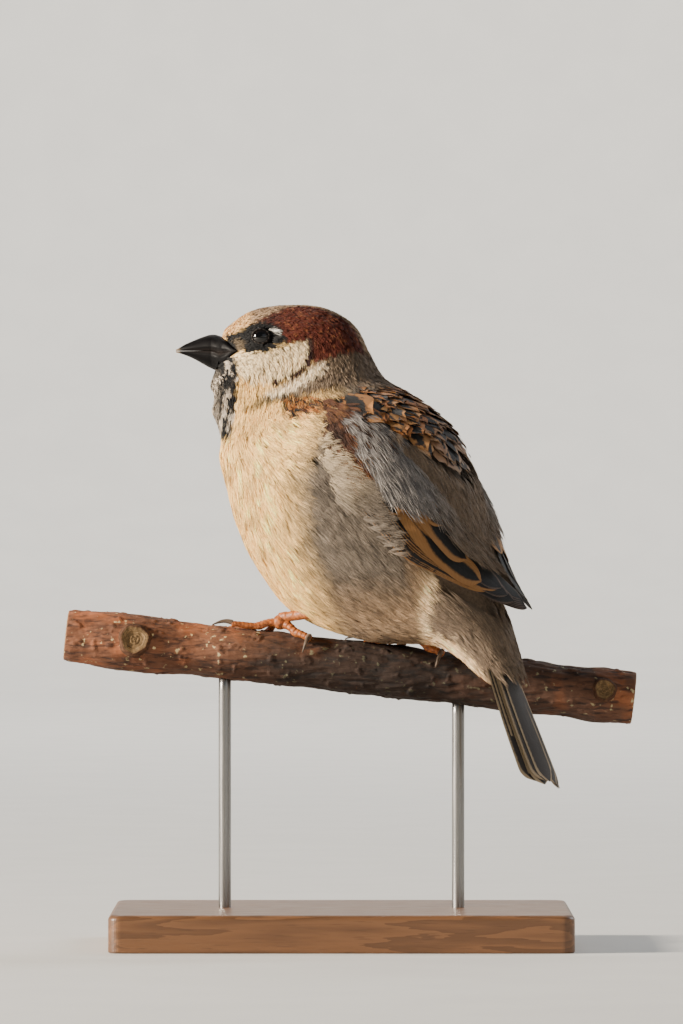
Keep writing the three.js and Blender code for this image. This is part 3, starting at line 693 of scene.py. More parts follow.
def eye_material():
    """A wet cornea over a dark iris: nearly black and mirror-smooth, with a brown ring that shows only
    close by."""
    material, add, set_shader = new_material("wet_cornea_over_dark_iris", Roughness=0.05, IOR=1.38,
                                             Coat_Weight=0.4, Coat_Roughness=0.02)
    rays = add("MapRange", (noise(add, 0.25), LOW, HIGH, 0.6, 1.3), **EASED)
    set_shader({"Base Color": dappled(add, add("Attribute", **PLUMAGE), rays)})
    return material


def scaled_skin_material():
    """Leg skin, grown with overlapping scutes: waxy and slightly glossy, with dark dust in patches and
    the fine grain of dry skin."""
    material, add, set_shader = new_material("scaled_leg_skin_grown", Roughness=0.48, IOR=1.45,
                                             Subsurface_Weight=0.1, Subsurface_Scale=0.001)
    grime = add("MapRange", (noise(add, 0.6), LOW, HIGH, 0.5, 1.3), **EASED)
    set_shader({"Base Color": dappled(add, add("Attribute", **PLUMAGE), grime),
                "Normal": add("Bump", {"Height": noise(add, 0.35, 4.0), "Strength": 1.0, "Distance": 0.06 * MM})})
    return material


def bark_material(colours):
    """Twig bark, weathered: matt brown, darker along fine cracks, with redder young patches and specks
    of lichen, all made lighter or darker by the piece's colour attribute, which holds painted light and shadow."""
    material, add, set_shader = new_material("twig_bark_weathered", Roughness=0.85)
    cracks, patches, specks = noise(add, 1.1, 6.0, (0.22, 1, 1)), noise(add, 9.0), noise(add, 1.6, 4.0)
    colour = rgba(colours.bark)
    for pattern, shares, over in ((patches, (0.5, 0.68, 0.0, 0.55), colours.bark_red),
                                  (cracks, (0.36, 0.52, 0.8, 0.0), colours.bark_dark),
                                  (specks, (0.63, 0.7, 0.0, 0.75), colours.lichen)):
        cover = add("MapRange", (pattern, *shares), **EASED)
        colour = add("Mix", {0: cover, 6: colour, 7: rgba(over)}, **COLOUR)
    relief = add("Math", (cracks, add("Math", (specks, 0.4), operation="MULTIPLY")), operation="ADD")
    # The attribute multiplies in the painted light and shadow laid on the branch.
    set_shader({"Base Color": add("Mix", {0: 1.0, 6: colour, 7: add("Attribute", **PLUMAGE)}, **SHADE),
                "Normal": add("Bump", {"Height": relief, "Strength": 1.0, "Distance": 0.5 * MM})})
    return material


def walnut_material(colours):
    """Walnut, planed and oiled: satin, with long grain of about 1.5 mm and short dark pores."""
    material, add, set_shader = new_material("walnut_planed_and_oiled", Roughness=0.42, Coat_Weight=0.15,
                                             Coat_Roughness=0.3)
    grain, pores = noise(add, 6.0, 5.0, (0.08, 1, 1)), noise(add, 0.5, 2.0, (0.06, 1, 1))
    rings = add("Math", [add("Math", (grain, 7.0), operation="MULTIPLY")], operation="FRACT")
    wood, dark = rgba(colours.base), rgba(colours.base, 0.42)
    for pattern, shares in ((rings, (0.0, 1.0, 0.1, 0.75)), (pores, (0.3, 0.42, 0.6, 0.0))):
        wood = add("Mix", {0: add("MapRange", (pattern, *shares), **EASED), 6: wood, 7: dark}, **COLOUR)
    set_shader({"Base Color": wood,
                "Roughness": add("MapRange", (pores, 0.3, 0.6, 0.55, 0.38), **EASED),
                "Normal": add("Bump", {"Height": pores, "Strength": 1.0, "Distance": 0.05 * MM})})
    return material


def steel_material(colours):
    """Steel rod, drawn: a metal with lines along its length that blur what it reflects."""
    material, add, set_shader = new_material("steel_rod_drawn", Metallic=1.0)
    lines = noise(add, 0.35, 3.0, (1, 1, 0.02))
    cover = add("MapRange", (lines, LOW, HIGH, 0.0, 0.4), **EASED)
    set_shader({"Base Color": add("Mix", {0: cover, 6: rgba(colours.steel), 7: rgba(colours.steel, 0.6)}, **COLOUR),
                "Roughness": add("MapRange", (lines, LOW, HIGH, 0.22, 0.42), **EASED),
                "Normal": add("Bump", {"Height": lines, "Strength": 1.0, "Distance": 0.01 * MM})})
    return material


def card_material(colours):
    """Backdrop card, matt: even, with the faint mottle of paper."""
    material, add, set_shader = new_material("backdrop_card_matt", Roughness=0.9)
    mottle = add("MapRange", (noise(add, 30.0), LOW, HIGH, 0.0, 0.06), **EASED)
    set_shader({"Base Color": add("Mix", {0: mottle, 6: rgba(colours.backdrop), 7: (0.3, 0.3, 0.3, 1.0)}, **COLOUR)})
    return material


# ------------------------------------------------------------------ feathers

Roots = namedtuple("Roots", "u v lie")
Size = namedtuple("Size", "length width fan lift sink")

# One barb: stations along it, the side of each point, and its width there. Three steps and a tip.
BARB_ALONG = np.array([0, 0, 0.34, 0.34, 0.7, 0.7, 1.0])
BARB_SIDE = np.array([-1, 1, -1, 1, -1, 1, 0.0])
BARB_WIDE = np.array([0.55, 0.55, 1.0, 1.0, 0.7, 0.7, 0.0])
BARB_FACES = np.array([[0, 1, 3], [0, 3, 2], [2, 3, 5], [2, 5, 4], [4, 5, 6]])
# Where the last barb leaves the shaft, how much shorter the outer ones are, how much of its turn each
# loses along its length, the power by which it comes up from the skin, and how its shade varies.
BARB_LAST, BARB_OUTER_SHORTER, BARB_SWEEP, BARB_RISE, BARB_SHADE = 0.5, 0.22, 0.35, 2.6, (0.86, 1.12)

# The width of a feather's patch on the unwrap that it is baked by, and the unwrap's margin.
BAKE_PATCH, BAKE_MARGIN = 0.003, 0.01


def unwrapped(form, roots):
    """Each root's place on the unwrap of its form: across by its v, and up by its u."""
    u = (roots.u - form.u_span[0]) / (form.u_span[1] - form.u_span[0])
    v = (roots.v - form.v_span[0]) / (form.v_span[1] - form.v_span[0])
    v = v % 1 if form is BODY else v
    return BAKE_MARGIN + (1 - 2 * BAKE_MARGIN) * np.clip(np.stack([v, u], -1), 0, 1)


def copies_of_faces(template, count, points_each):
    """A template's faces for each of many like shapes."""
    return (template[None] + (np.arange(count) * points_each)[:, None, None]).reshape(-1, template.shape[1])


def loose_feathers(form, roots, size, barbs, colours, rng):
    """Soft feathers as fans of loose barbs. A barb leaves the shaft at a share of its length, heads out
    by its fan angle and sweeps forward. It rises from its root's depth by a power of what is left of its
    length, and lifts at its tip with the square of it. colours has the root's, the middle's and the tip's
    colour, each a row for each feather; the callers give the root a darker copy of the middle, which is
    painted shade where the barbs lie deep among the others."""
    n = len(roots.u)
    fan = size.fan[:, None] if np.ndim(size.fan) else size.fan
    length, width = size.length[:, None, None], size.width
    turn = np.linspace(-1, 1, barbs) * fan + rng.normal(0, 0.1, (n, barbs)) * fan
    start = BARB_LAST * rng.random((n, barbs))
    reach = (1 - start) * (1 - BARB_OUTER_SHORTER * (turn / fan) ** 2) * rng.uniform(0.8, 1.05, (n, barbs))
    roll = rng.normal(0, 0.5, (n, barbs))[..., None]
    bend = turn[..., None] * (1 - BARB_SWEEP * BARB_ALONG)
    half = width / 2 * BARB_WIDE * BARB_SIDE
    along = start[..., None] + reach[..., None] * BARB_ALONG * np.cos(bend)
    x = length * along - half * np.sin(bend) * np.cos(roll)
    y = length * reach[..., None] * BARB_ALONG * np.sin(bend) + half * np.cos(bend) * np.cos(roll)
    share = np.clip(along, 0, 1)
    sink = size.sink[:, None, None]
    height = -sink * (1 - share) ** BARB_RISE + size.lift * share ** 2 + half * np.sin(roll)
    height = height + rng.normal(0, 0.05, (n, barbs))[..., None] * share
    points = lay(form, roots, x, y, height).reshape(-1, 3)

    root, middle, tip = (c[:, None, None, :] for c in colours)
    # Darker towards the root: the painted shade deep in the coat that the callers give it.
    to_middle, to_tip = smooth(share / 0.45)[..., None], smooth((share - 0.6) / 0.35)[..., None]
    tint = blend(blend(root, middle, to_middle), tip, to_tip)
    tint = tint * rng.uniform(*BARB_SHADE, (n, barbs))[..., None, None]
    across = (np.arange(barbs)[:, None] + 0.5 + 0.4 * BARB_SIDE) / barbs
    local = np.stack(np.broadcast_arrays(across[None], share), -1)
    bake = unwrapped(form, roots)[:, None, None, :] + BAKE_PATCH * (local - 0.5)
    faces = copies_of_faces(BARB_FACES, n * barbs, len(BARB_ALONG))
    return Part(points, faces, {"plumage": np.clip(tint, 0, 1).reshape(-1, 3)},
                {"OFBake": bake.reshape(-1, 2)})


VANE_ROWS, VANE_COLUMNS, VANE_CAMBER, VANE_FRAY = 8, 5, 0.12, 0.02


def outline(t, base, widest, full, blunt, flat):
    """Half width of a vane at a share of its length: it widens from its base share to its widest place,
    and from the share where it is still full it closes as a rounded end, the blunter the higher the
    power. flat is how far it closes at the very tip."""
    end = np.clip(t - full, 0, 1) / (1 - full)
    return (base + (1 - base) * smooth(t / widest)) * np.sqrt(np.clip(1 - end ** blunt * flat, 0, 1))


# A mantle feather closes from its middle on. A primary narrows to a rounded point, a covert or tertial
# closes as a broad round end, and a tail feather widens along its whole length to a blunt one.
MANTLE_SHAPE, POINTED, ROUNDED, SQUARED = (
    (0.42, 0.5, 0.5, 2.6, 0.985), (0.5, 0.35, 0.6, 2.6, 0.99), (0.55, 0.5, 0.78, 2.4, 0.995),
    (0.6, 0.8, 0.92, 2.2, 0.995))


def vane_feathers(form, roots, size, colours, rng):
    """Vaned feathers as small cambered sheets. Each is a grid of rows from base to tip and columns
    across, whose half width follows the vane's outline. It rises from its root's depth to its lift, and
    drops at both edges with the square of the distance from the shaft. colours has the middle's colour
    with its half width, and the edge's with the vane's length."""
    n, rows, columns = len(roots.u), VANE_ROWS, VANE_COLUMNS
    t = np.linspace(0, 1, rows)[None, :, None]
    c = np.linspace(-1, 1, columns)[None, None, :]
    length, half = size.length[:, None, None], (size.width / 2)[:, None, None]
    spread = half * outline(t, *MANTLE_SHAPE)
    x = length * t + length * VANE_FRAY * rng.normal(size=(n, rows, columns)) * np.abs(c)
    x = x - half * 0.35 * c ** 2 * smooth((t - 0.4) / 0.6)
    y = spread * c + half * 0.04 * rng.normal(size=(n, rows, columns)) * np.abs(c)
    sink = size.sink[:, None, None]
    height = -sink * (1 - t) ** 1.5 + size.lift * t ** 2 - VANE_CAMBER * spread * c ** 2
    height = height + (rng.normal(0, 0.08, n)[:, None, None] * c) + np.zeros_like(x)
    points = lay(form, roots, x, y, height).reshape(-1, 3)
    each = rows * columns
    local = np.broadcast_to(np.stack(np.broadcast_arrays((c + 1) / 2, t), -1), (n, rows, columns, 2))
    bake = unwrapped(form, roots)[:, None, None, :] + BAKE_PATCH * (local - 0.5)
    vane = local - np.stack([size.fan / 2 * np.ones(n), np.zeros(n)], -1)[:, None, None, :]
    layers = {key: np.repeat(values, each, axis=0) for key, values in
              zip(("plumage", "plumage_edge"), colours)}
    return Part(points, copies_of_faces(grid_faces(rows, columns)[:, ::-1], n, each), layers,
                {"OFBake": bake.reshape(-1, 2), "vane": vane.reshape(-1, 2)})


def colours_of(group):
    """A property group's colours by name, as arrays."""
    return {key: np.array(getattr(group, key)[:]) for key in type(group).__annotations__}


# How far a feather's marking may stray from its place, in mm: this makes the outlines ragged.
MARKING_STRAY = 0.22


def painted(base, layers, shape):
    """A colour for each place: the base, with each layer's colour laid over it by its cover."""
    result = np.broadcast_to(base, shape + (3,)).copy()
    for cover, colour in layers:
        result += (colour - result) * cover[..., None]
    return result


def markings(q, z, out, inks, rng=None):
    """The bird's colours at a place in its side view: the feather's middle and its tip. The body comes
    first, paler in front, and each marking is laid over those before it."""
    if rng is not None:
        q, z = q + rng.normal(0, MARKING_STRAY, q.shape), z + rng.normal(0, MARKING_STRAY, z.shape)
    flat = np.stack([q, z], -1)
    crown_half = np.interp(q, [-16, -6, 1, 6, 11, 15], [2.0, 2.4, 2.4, 3.6, 5.0, 7.2])
    side = smooth((out - crown_half) / 0.8)
    ahead = smooth((q - np.interp(z, *BREAST_EDGE)) / 11)
    low = np.maximum(smooth((92 - z) / 13), smooth((-21 - q) / 5) * smooth((97 - z) / 5)) * (1 - ahead)
    # Behind the breast the flank's colour carries painted shade as well as its grey-beige.
    body = painted(inks["flank"], [(ahead, inks["breast"]), (low * 0.9, inks["belly"])], q.shape)
    body = body * (1 - 0.3 * smooth((ripple(flat, 7.0, 23) - 0.1) / 0.8))[..., None]
    below_gape = smooth((150 - z) / 4)
    front = smooth((q - 19.8) / 1.6) * smooth((139 - z) / 3)
    cover = {name: zone(name, q, z, soft) for name, soft in SOFT_EDGES.items()}
    curls = smooth((ripple(flat, 2.6, 18) - 0.1) / 0.5)[..., None]
    worn = blend(inks["chestnut"], inks["chestnut_tip"], curls)
    mottle = 1 - 0.25 * smooth((ripple(flat, 2.4, 19) - 0.3) / 0.5)[..., None]
    stripes = smooth((ripple(np.stack([q + 0.3 * z, 0.22 * z], -1), 2.3, 17) + 0.6) / 0.4)[..., None]
    streaked = blend(inks["bib_tip"], inks["black"] * 0.6, stripes)
    red = cover["chestnut"] * side
    at_cheek = smooth((1.2 - np.abs(q + 1.6)) / 1.2) * smooth((146 - z) / 1.5)
    dark_red = red * np.clip(smooth((q - 3) / 6) * 0.9 + at_cheek * 0.8, 0, 1)
    streak = np.zeros(q.shape) if rng is None else rng.random(q.shape)
    patch = painted(inks["mantle_orange"], [((streak < 0.35) * 1.0, inks["mantle_buff"]),
                                            ((streak < 0.1) * 1.0, inks["mantle_buff"] * 1.8),
                                            ((streak > 0.62) * 1.0, inks["black"] * 2)], q.shape)
    results = []
    for base, chestnut, dark, bib in ((body, inks["chestnut"], inks["chestnut_dark"], streaked * 0.8),
                                      (body * 1.06, worn, inks["chestnut"], streaked)):
        results.append(painted(base, [
            (cover["undertail"], inks["undertail"]), (cover["tail_side"], inks["back"]),
            (cover["nape"], inks["nape"]), (cover["cap"], inks["crown"]), (cover["forehead"], inks["forehead"]),
            (cover["cheek"] * below_gape, inks["cheek"] * mottle), (red, chestnut), (dark_red, dark),
            (cover["mask"], inks["black"] * 0.5), (cover["lore"] * 0.85, inks["lore"]),
            (cover["spot"], inks["spot"]), (cover["cheek_edge"], inks["chestnut_dark"]),
            (cover["band"], inks["band"]), (cover["collar"] * 0.75, inks["black"]), (cover["shoulder"], patch),
            (cover["bib"], bib), (cover["bib"] * front * 0.35, inks["bib_tip"])], q.shape))
    return results


SHOWN_SHARE = 0.62


def shown_at(form, roots, length):
    """Where the visible part of each feather shows in the side view."""
    return form.view(*moved(form, roots, SHOWN_SHARE * length, np.zeros_like(length)))


def coat_depth(section):
    """How deep the skin lies under the plumage at a section."""
    return spline(COAT_DEPTH[:, None], section)[..., 0]


def keep(roots, mask):
    """The roots that a mask picks."""
    return Roots(*(a[mask] for a in roots))


NOT_OVER = 99.0


def height_over(points, form, u_span, v_span, near):
    """For each point, its height over the nearest place of a form, or NOT_OVER where that place is not
    straight below or above it to within near millimetres, or is over five times as far off."""
    u, v = (g.ravel() for g in np.meshgrid(np.linspace(*u_span, 56), np.linspace(*v_span, 40)))
    places = form.point(u, v)
    normals = unit(np.cross(*tangents(form, u, v))) * form.turn
    result = np.full(len(points), NOT_OVER)
    for chunk in np.array_split(np.arange(len(points)), max(1, len(points) // 1500)):
        gap = points[chunk][:, None, :] - places[None]
        nearest = dot(gap, gap).argmin(1)
        gap = gap[np.arange(len(chunk)), nearest]
        height = dot(gap, normals[nearest])
        aside = np.sqrt(np.maximum(dot(gap, gap) - height ** 2, 0))
        result[chunk] = np.where((aside < near) & (np.abs(height) < 5 * near), height, NOT_OVER)
    return result


def over_wing(points):
    """For each point, its height over either folded wing, or NOT_OVER away from both."""
    left, right = (height_over(points, form, (0.02, 0.98), (0.02, 0.98), 1.2) for form in WINGS.values())
    return np.where(left < NOT_OVER, left, right)


def stiff_feathers(path, normal, half, shape, colours, shift=0.0, camber=0.1, columns=9):
    """Stiff, straight feathers along paths of points. Across each path the vane reaches its half width
    times its outline at that share of its length, is drawn back at both sides of the tip, and drops from
    the shaft by its camber. shift moves the dark middle towards one side."""
    n, rows = path.shape[:2]
    t = tip_dense(rows)[None, :, None]
    c = np.linspace(-1, 1, columns)[None, None, :]
    tangent = unit(np.gradient(path, axis=1))
    aside = unit(np.cross(normal, tangent))
    spread = half[:, None, None] * outline(t, *shape) * c
    back = np.abs(half[:, None, None]) * 0.12 * c ** 2 * smooth((t - 0.8) / 0.2)
    points = (path[:, :, None] + aside[:, :, None] * spread[..., None] - tangent[:, :, None] * back[..., None]
              - normal[:, :, None] * (camber * np.abs(spread) * np.abs(c))[..., None])
    place = np.stack(np.broadcast_arrays((c - np.reshape(shift, (-1, 1, 1)) + 1) / 2, t), -1)
    place = np.broadcast_to(place, (n, rows, columns, 2))
    layers = {key: np.repeat(values, rows * columns, axis=0) for key, values in
              zip(("plumage", "plumage_edge"), colours)}
    faces = copies_of_faces(grid_faces(rows, columns)[:, ::-1], n, rows * columns)
    return Part(points.reshape(-1, 3), faces, layers, {"vane": place.reshape(-1, 2)})


def tip_dense(rows):
    """Shares of a feather's length that crowd towards its tip, where the outline turns fastest."""
    return 1 - (1 - np.linspace(0, 1, rows)) ** 1.8


def with_alpha(colour, value, count):
    """One colour for each of many feathers, with a value in its alpha."""
    alpha = np.broadcast_to(np.asarray(value, float), (count,))
    return np.concatenate([np.broadcast_to(colour, (count, 3)), alpha[:, None]], 1)


# Rows of the folded wing's long feathers. Root and tip run from the row's first feather to its last, as
# places on the wing, half is half their width, depth is how far each lies under the wing's surface, and
# limit is the dark middle's half width, which shift moves towards one side.
Row = namedtuple("Row", "count root tip half depth edge limit shape shift")
WING_ROWS = tuple(Row(*row) for row in (
    (5, ((0.12, 0.88), (0.16, 0.45)), ((0.32, 0.86), (0.36, 0.50)), (2.6, 2.8), (0.3, 0.3), "covert_edge", 0.6,
     ROUNDED, 0.0),
    (6, ((0.22, 0.9), (0.26, 0.40)), ((0.44, 0.86), (0.50, 0.46)), (2.6, 3.0), (0.55, 0.4), "covert_edge", 0.5,
     ROUNDED, -0.2),
    (2, ((0.34, 0.14), (0.36, 0.42)), ((0.60, 0.10), (0.575, 0.47)), (3.4, 3.2), (0.2, 0.25), "covert_edge", 0.55,
     ROUNDED, -0.15),
    (2, ((0.40, 0.20), (0.38, 0.50)), ((0.74, 0.16), (0.715, 0.56)), (3.2, 3.8), (0.5, 0.55), "covert_edge", 0.5,
     ROUNDED, -0.1),
    (1, ((0.38, 0.68), (0.38, 0.68)), ((0.80, 0.77), (0.80, 0.77)), (3.5, 3.5), (0.95, 0.95), "covert_edge", 0.52,
     ROUNDED, -0.05),
    (3, ((0.50, 0.66), (0.56, 0.86)), ((0.87, 0.50), (0.93, 0.80)), (2.8, 2.4), (1.1, 1.4), "flight_edge", 0.86,
     ROUNDED, -0.05),
    (8, ((0.34, 0.80), (0.36, 1.0)), ((0.86, 0.74), (0.84, 0.90)), (2.2, 1.9), (1.2, 1.7), "covert_edge", 0.88,
     ROUNDED, 0.0),
    (7, ((0.50, 0.60), (0.50, 0.90)), ((0.95, 0.15), (1.0, 0.8)), (2.5, 2.0), (1.5, 2.2), "flight_edge", 0.92,
     POINTED, 0.0),
))
COVERT_ROWS, TERTIAL_ROWS, PRIMARY_ROW = (0, 1, 5, 6), (2, 3, 4), 7


def wing_row(form, row, inks, rng, rows=22):
    """One row of long feathers on a folded wing. Each path runs straight from root to tip in the wing's
    own coordinates. It starts at its depth, and comes up to a third of it at its tip."""
    n = row.count
    order = np.linspace(0, 1, n)[:, None]
    t = tip_dense(rows)[None, :]
    starts, ends = (blend(*np.array(pair)[:, None, :], order) for pair in (row.root, row.tip))
    a = blend(starts[:, :1], ends[:, :1], t)
    c = blend(starts[:, 1:], ends[:, 1:], t) + rng.normal(0, 0.006, (n, 1)) * t
    depth = blend(*row.depth, order) * (1 - 0.6 * smooth(t)) + 0.12
    path = raised(form, a, c, -depth)
    normal = unit(np.cross(*tangents(form, a, c))) * form.turn
    length = np.linalg.norm(path[:, -1] - path[:, 0], axis=-1)
    half = blend(*row.half, order)[:, 0]
    # Across runs from the back edge to the outer one on both wings.
    colours = with_alpha(inks["black"] * 0.6, row.limit, n), with_alpha(inks[row.edge], length / 100, n)
    side = -form.turn
    part = stiff_feathers(path, normal, half * side, row.shape, colours, shift=row.shift)
    return part if side > 0 else part._replace(faces=part.faces[:, ::-1])


# ------------------------------------------------------------------ the branch and what grips it

PERCH_TILT = math.atan(PERCH_FALL)
PERCH_NORMAL = np.array([math.sin(PERCH_TILT), 0, math.cos(PERCH_TILT)])
PERCH_ALONG = np.array([math.cos(PERCH_TILT), 0, -math.sin(PERCH_TILT)])
ASIDE = np.array([0.0, 1.0, 0.0])


def perch_centre(x):
    """The middle of the branch at each x."""
    return np.stack([x, np.zeros_like(x), PERCH_UP - PERCH_FALL * x], -1)


def perch_radius(x):
    """The branch's radius: even, with two slow waves and a swelling at each knot."""
    wave = 0.12 * np.sin(x / 5.1) + 0.1 * np.sin(x / 2.3 + 1)
    return PERCH_RADIUS + wave + sum(k["swell"] * np.exp(-((x - k["x"]) / k["length"]) ** 2) for k in KNOTS)


def on_perch(x, angle, lift=0.0):
    """A point round the branch at an angle from its top, positive towards +Y, above its bark."""
    reach = perch_radius(x) + lift
    return placed(perch_centre(x), (PERCH_NORMAL, ASIDE), reach * np.cos(angle), reach * np.sin(angle))


def around_perch(points):
    """Points that would lie inside the branch are pushed out of its bark along its radius."""
    out = points - perch_centre(points[:, 0])
    out -= dot(out, PERCH_ALONG)[:, None] * PERCH_ALONG
    need = perch_radius(points[:, 0]) + PERCH_CLEARANCE - np.linalg.norm(out, axis=-1)
    return points + unit(out) * np.maximum(need, 0)[:, None]


def from_palm(foot, run, turn, lift):
    """A place on the branch at a run from a foot's palm, along a direction on its unrolled bark."""
    direction = BODY_HEADING + turn * RAD
    x = foot["x"] - run * math.cos(direction)
    arc = foot["arc"] + run * math.sin(direction)
    return on_perch(x, arc / (PERCH_RADIUS + lift), lift)


def tube_along(centres, up, radius, around=20):
    """A profile carried along a path. The profile's top faces up, made square to the path, and its
    radius is given for each station and angle."""
    tangent = unit(np.gradient(centres, axis=0))
    top = unit(up - tangent * dot(up, tangent)[:, None])
    aside = np.cross(tangent, top)
    angle = np.linspace(0, TURN, around, endpoint=False)[None, :]
    reach = radius(np.linspace(0, 1, len(centres))[:, None], angle)
    return closed_tube(placed(centres[:, None], (top[:, None], aside[:, None]),
                              reach * np.cos(angle), reach * np.sin(angle)))


def scutes(t, angle, count, depth):
    """Overlapping scales along the top of a tube: each rises slowly and drops at its end."""
    step = (t * count) % 1
    return 1 + depth * (step - 0.5 - 0.6 * smooth((step - 0.88) / 0.12)) * smooth((np.cos(angle) + 0.25) / 0.5)


def shank(foot, inks):
    """The bare shank and palm: a thin tube back to the heel with scutes on its front, and a ball."""
    palm = from_palm(foot, np.zeros(1), 0, LEG["lift"])[0]
    back = np.array([math.cos(BODY_HEADING), -math.sin(BODY_HEADING), 0]) * math.cos(LEG["slope"])
    direction = back + np.array([0, 0, math.sin(LEG["slope"])])
    t = np.linspace(0, 1, 90)[:, None]
    centres = palm + [0, 0, LEG["rise"]] + direction * LEG["shank"] * t

    def thin(u, angle):
        radius = blend(LEG["ankle"], LEG["heel"], u) + 0.35 * smooth((u - 0.85) / 0.15)
        return radius * scutes(u, angle, 9, 0.12) * (1 - 0.12 * np.sin(angle) ** 2)

    tube = tube_along(centres, np.array([0, 0, 1.0]), thin)
    latitude = np.linspace(0.02, math.pi - 0.02, 20)[:, None]
    longitude = np.linspace(0, TURN, 24, endpoint=False)[None, :]
    lumps = 1 + 0.03 * np.sin(5 * longitude) * np.sin(6 * latitude)
    reach = LEG["palm"] * lumps
    ball = placed(palm, np.eye(3), reach * np.sin(latitude) * np.cos(longitude),
                  reach * np.sin(latitude) * np.sin(longitude), reach * np.cos(latitude))
    return joined([tinted(tube, inks["leg"]), tinted(closed_tube(ball), inks["leg"] * 0.9)])


def toe(foot, shape, inks):
    """A toe along the bark: it narrows to its claw, with scutes on top and pads below."""
    t = np.linspace(0, 1, 60)
    run = TOE_START - TOE_IN_PALM + (shape["length"] + TOE_IN_PALM) * t
    lift = blend(LEG["lift"] - 0.2, shape["radius"] * 0.8 + 0.3, smooth(t * 2.2))
    centres = from_palm(foot, run, shape["turn"], lift)
    pads = round(shape["length"] / 3.2)

    def radius(u, angle):
        pad = 1 + 0.13 * np.cos(TURN * pads * u) * smooth((0.3 - np.cos(angle)) / 0.6)
        return shape["radius"] * (1 - 0.22 * u) * scutes(u, angle, shape["length"] * 1.15, 0.16) * pad

    up = unit(centres - perch_centre(centres[:, 0]))
    return tinted(tube_along(centres, up, radius, around=16), inks["leg"])


def claw(foot, shape, inks):
    """A claw: a short horn that curls down to the bark, deeper than wide. The hind one bends round."""
    t = np.linspace(0, 1, 26)
    low = 0.65
    arch = shape["radius"] * 0.7 * (1 - t) + 0.6 * np.sin(math.pi * t) * (1 - 0.4 * t)
    hind = shape["turn"] == 180
    run = TOE_START + shape["length"] - 0.2 + (shape["claw"] + 0.8) * t * (-0.26 if hind else 1)
    if hind:
        arc = foot["arc"] - run * math.sin(BODY_HEADING) - shape["claw"] * smooth(t) * 0.85
        centres = on_perch(foot["x"] + run * math.cos(BODY_HEADING), arc / (PERCH_RADIUS + low + arch), low + arch)
    else:
        centres = from_palm(foot, run, shape["turn"], low + arch)

    def radius(u, angle):
        return (shape["radius"] * 0.66 * (1 - u ** 1.3) + 0.1 * u) * (1 + 0.12 * np.cos(angle) ** 2)

    around = 12
    dark = inks["claw"] * (1 - 0.45 * t[:, None])
    part = tube_along(centres, unit(centres - perch_centre(centres[:, 0])), radius, around)
    return tinted(part, np.repeat(dark, around, 0), dark[[0, -1]])


# ------------------------------------------------------------------ operators, one for each group

class SparrowOperator:
    """What the operators share: they can be undone, and each has its own seeded numbers."""

    bl_options = {"REGISTER", "UNDO"}
    seed = 0

    def execute(self, context):
        self.make(context, np.random.default_rng(self.seed))
        return {"FINISHED"}


def lamp(name, place, target, width, watts, colour):
    """A square area light that faces its target."""
    data = bpy.data.lights.new(name, "AREA")
    data.size, data.energy, data.color = width, watts, colour
    light = bpy.data.objects.new(name, data)
    light.location = place
    light.rotation_euler = (Vector(target) - Vector(place)).to_track_quat("-Z", "Y").to_euler()
    bpy.context.scene.collection.objects.link(light)


# Each lamp's place, what it faces, its width in metres, its power in watts and its colour.
LAMPS = (
    ("key_light", (-1.62, -0.44, 0.58), (0, 0, 0.11), 0.3, 100, (1.0, 0.9, 0.77)),
    ("fill_light", (1.0, -1.6, 0.7), (0, 0, 0.11), 1.2, 2.5, (0.86, 0.92, 1.0)),
    ("rim_light", (1.2, 0.7, 0.9), (0, 0, 0.11), 0.7, 13, (0.95, 0.97, 1.0)),
    ("backdrop_light", (0.0, 1.9, 1.9), (0.0, 3.1, 0.1), 1.2, 60, (1.0, 0.98, 0.95)),
)
# The backdrop's flat floor, the bend at its edge and its low wall's top, in mm.
SWEEP_FLOOR, SWEEP_BEND, SWEEP_TOP, SWEEP_SIDES = 2700, 700, 1100, 96
SENSOR_HEIGHT = 36.0


class SPARROW_OT_stage(SparrowOperator, bpy.types.Operator):
    """Make the backdrop, the lights and the camera."""

    bl_idname = "sparrow.stage"
    bl_label = "Stage"

    def make(self, context, rng):
        sizes = context.scene.sparrow_sizes
        # A round sweep: the floor runs out, turns up in a quarter circle and rises as a low wall.
        bend = np.linspace(0, math.pi / 2, 24)
        radius = np.concatenate([[1, SWEEP_FLOOR - 1500], SWEEP_FLOOR + SWEEP_BEND * np.sin(bend),
                                 [SWEEP_FLOOR + SWEEP_BEND]])[:, None]
        up = np.concatenate([[0, 0], SWEEP_BEND * (1 - np.cos(bend)), [SWEEP_TOP]])[:, None]
        spin = np.linspace(0, TURN, SWEEP_SIDES, endpoint=False)[None, :]
        points = np.stack([radius * np.cos(spin), radius * np.sin(spin), up + 0 * spin], -1).reshape(-1, 3)
        faces = grid_faces(len(radius), SWEEP_SIDES, wrap=True)[:, ::-1].tolist() + [list(range(SWEEP_SIDES))]
        mesh = bpy.data.meshes.new("backdrop")
        mesh.from_pydata((points * MM).tolist(), [], faces)
        mesh.polygons.foreach_set("use_smooth", np.ones(len(mesh.polygons), bool))
        mesh.materials.append(card_material(context.scene.sparrow_parts))
        backdrop = bpy.data.objects.new("backdrop", mesh)
        context.scene.collection.objects.link(backdrop)

        for row in LAMPS:
            lamp(*row)
        world = bpy.data.worlds.new("studio_air")
        world.use_nodes = True
        set_inputs(world.node_tree, world.node_tree.nodes["Background"],
                   {"Color": (0.8, 0.85, 0.9, 1), "Strength": 0.18})
        context.scene.world = world

        camera = bpy.data.cameras.new("camera")
        camera.sensor_fit = "VERTICAL"
        camera.sensor_height = SENSOR_HEIGHT
        camera.lens = SENSOR_HEIGHT * sizes.camera_distance / sizes.frame_height
        camera.clip_end = 20
        view = bpy.data.objects.new("camera", camera)
        view.location = (0, -sizes.camera_distance, sizes.camera_height)
        view.rotation_euler = (math.pi / 2, 0, 0)
        context.scene.collection.objects.link(view)
        context.scene.camera = view


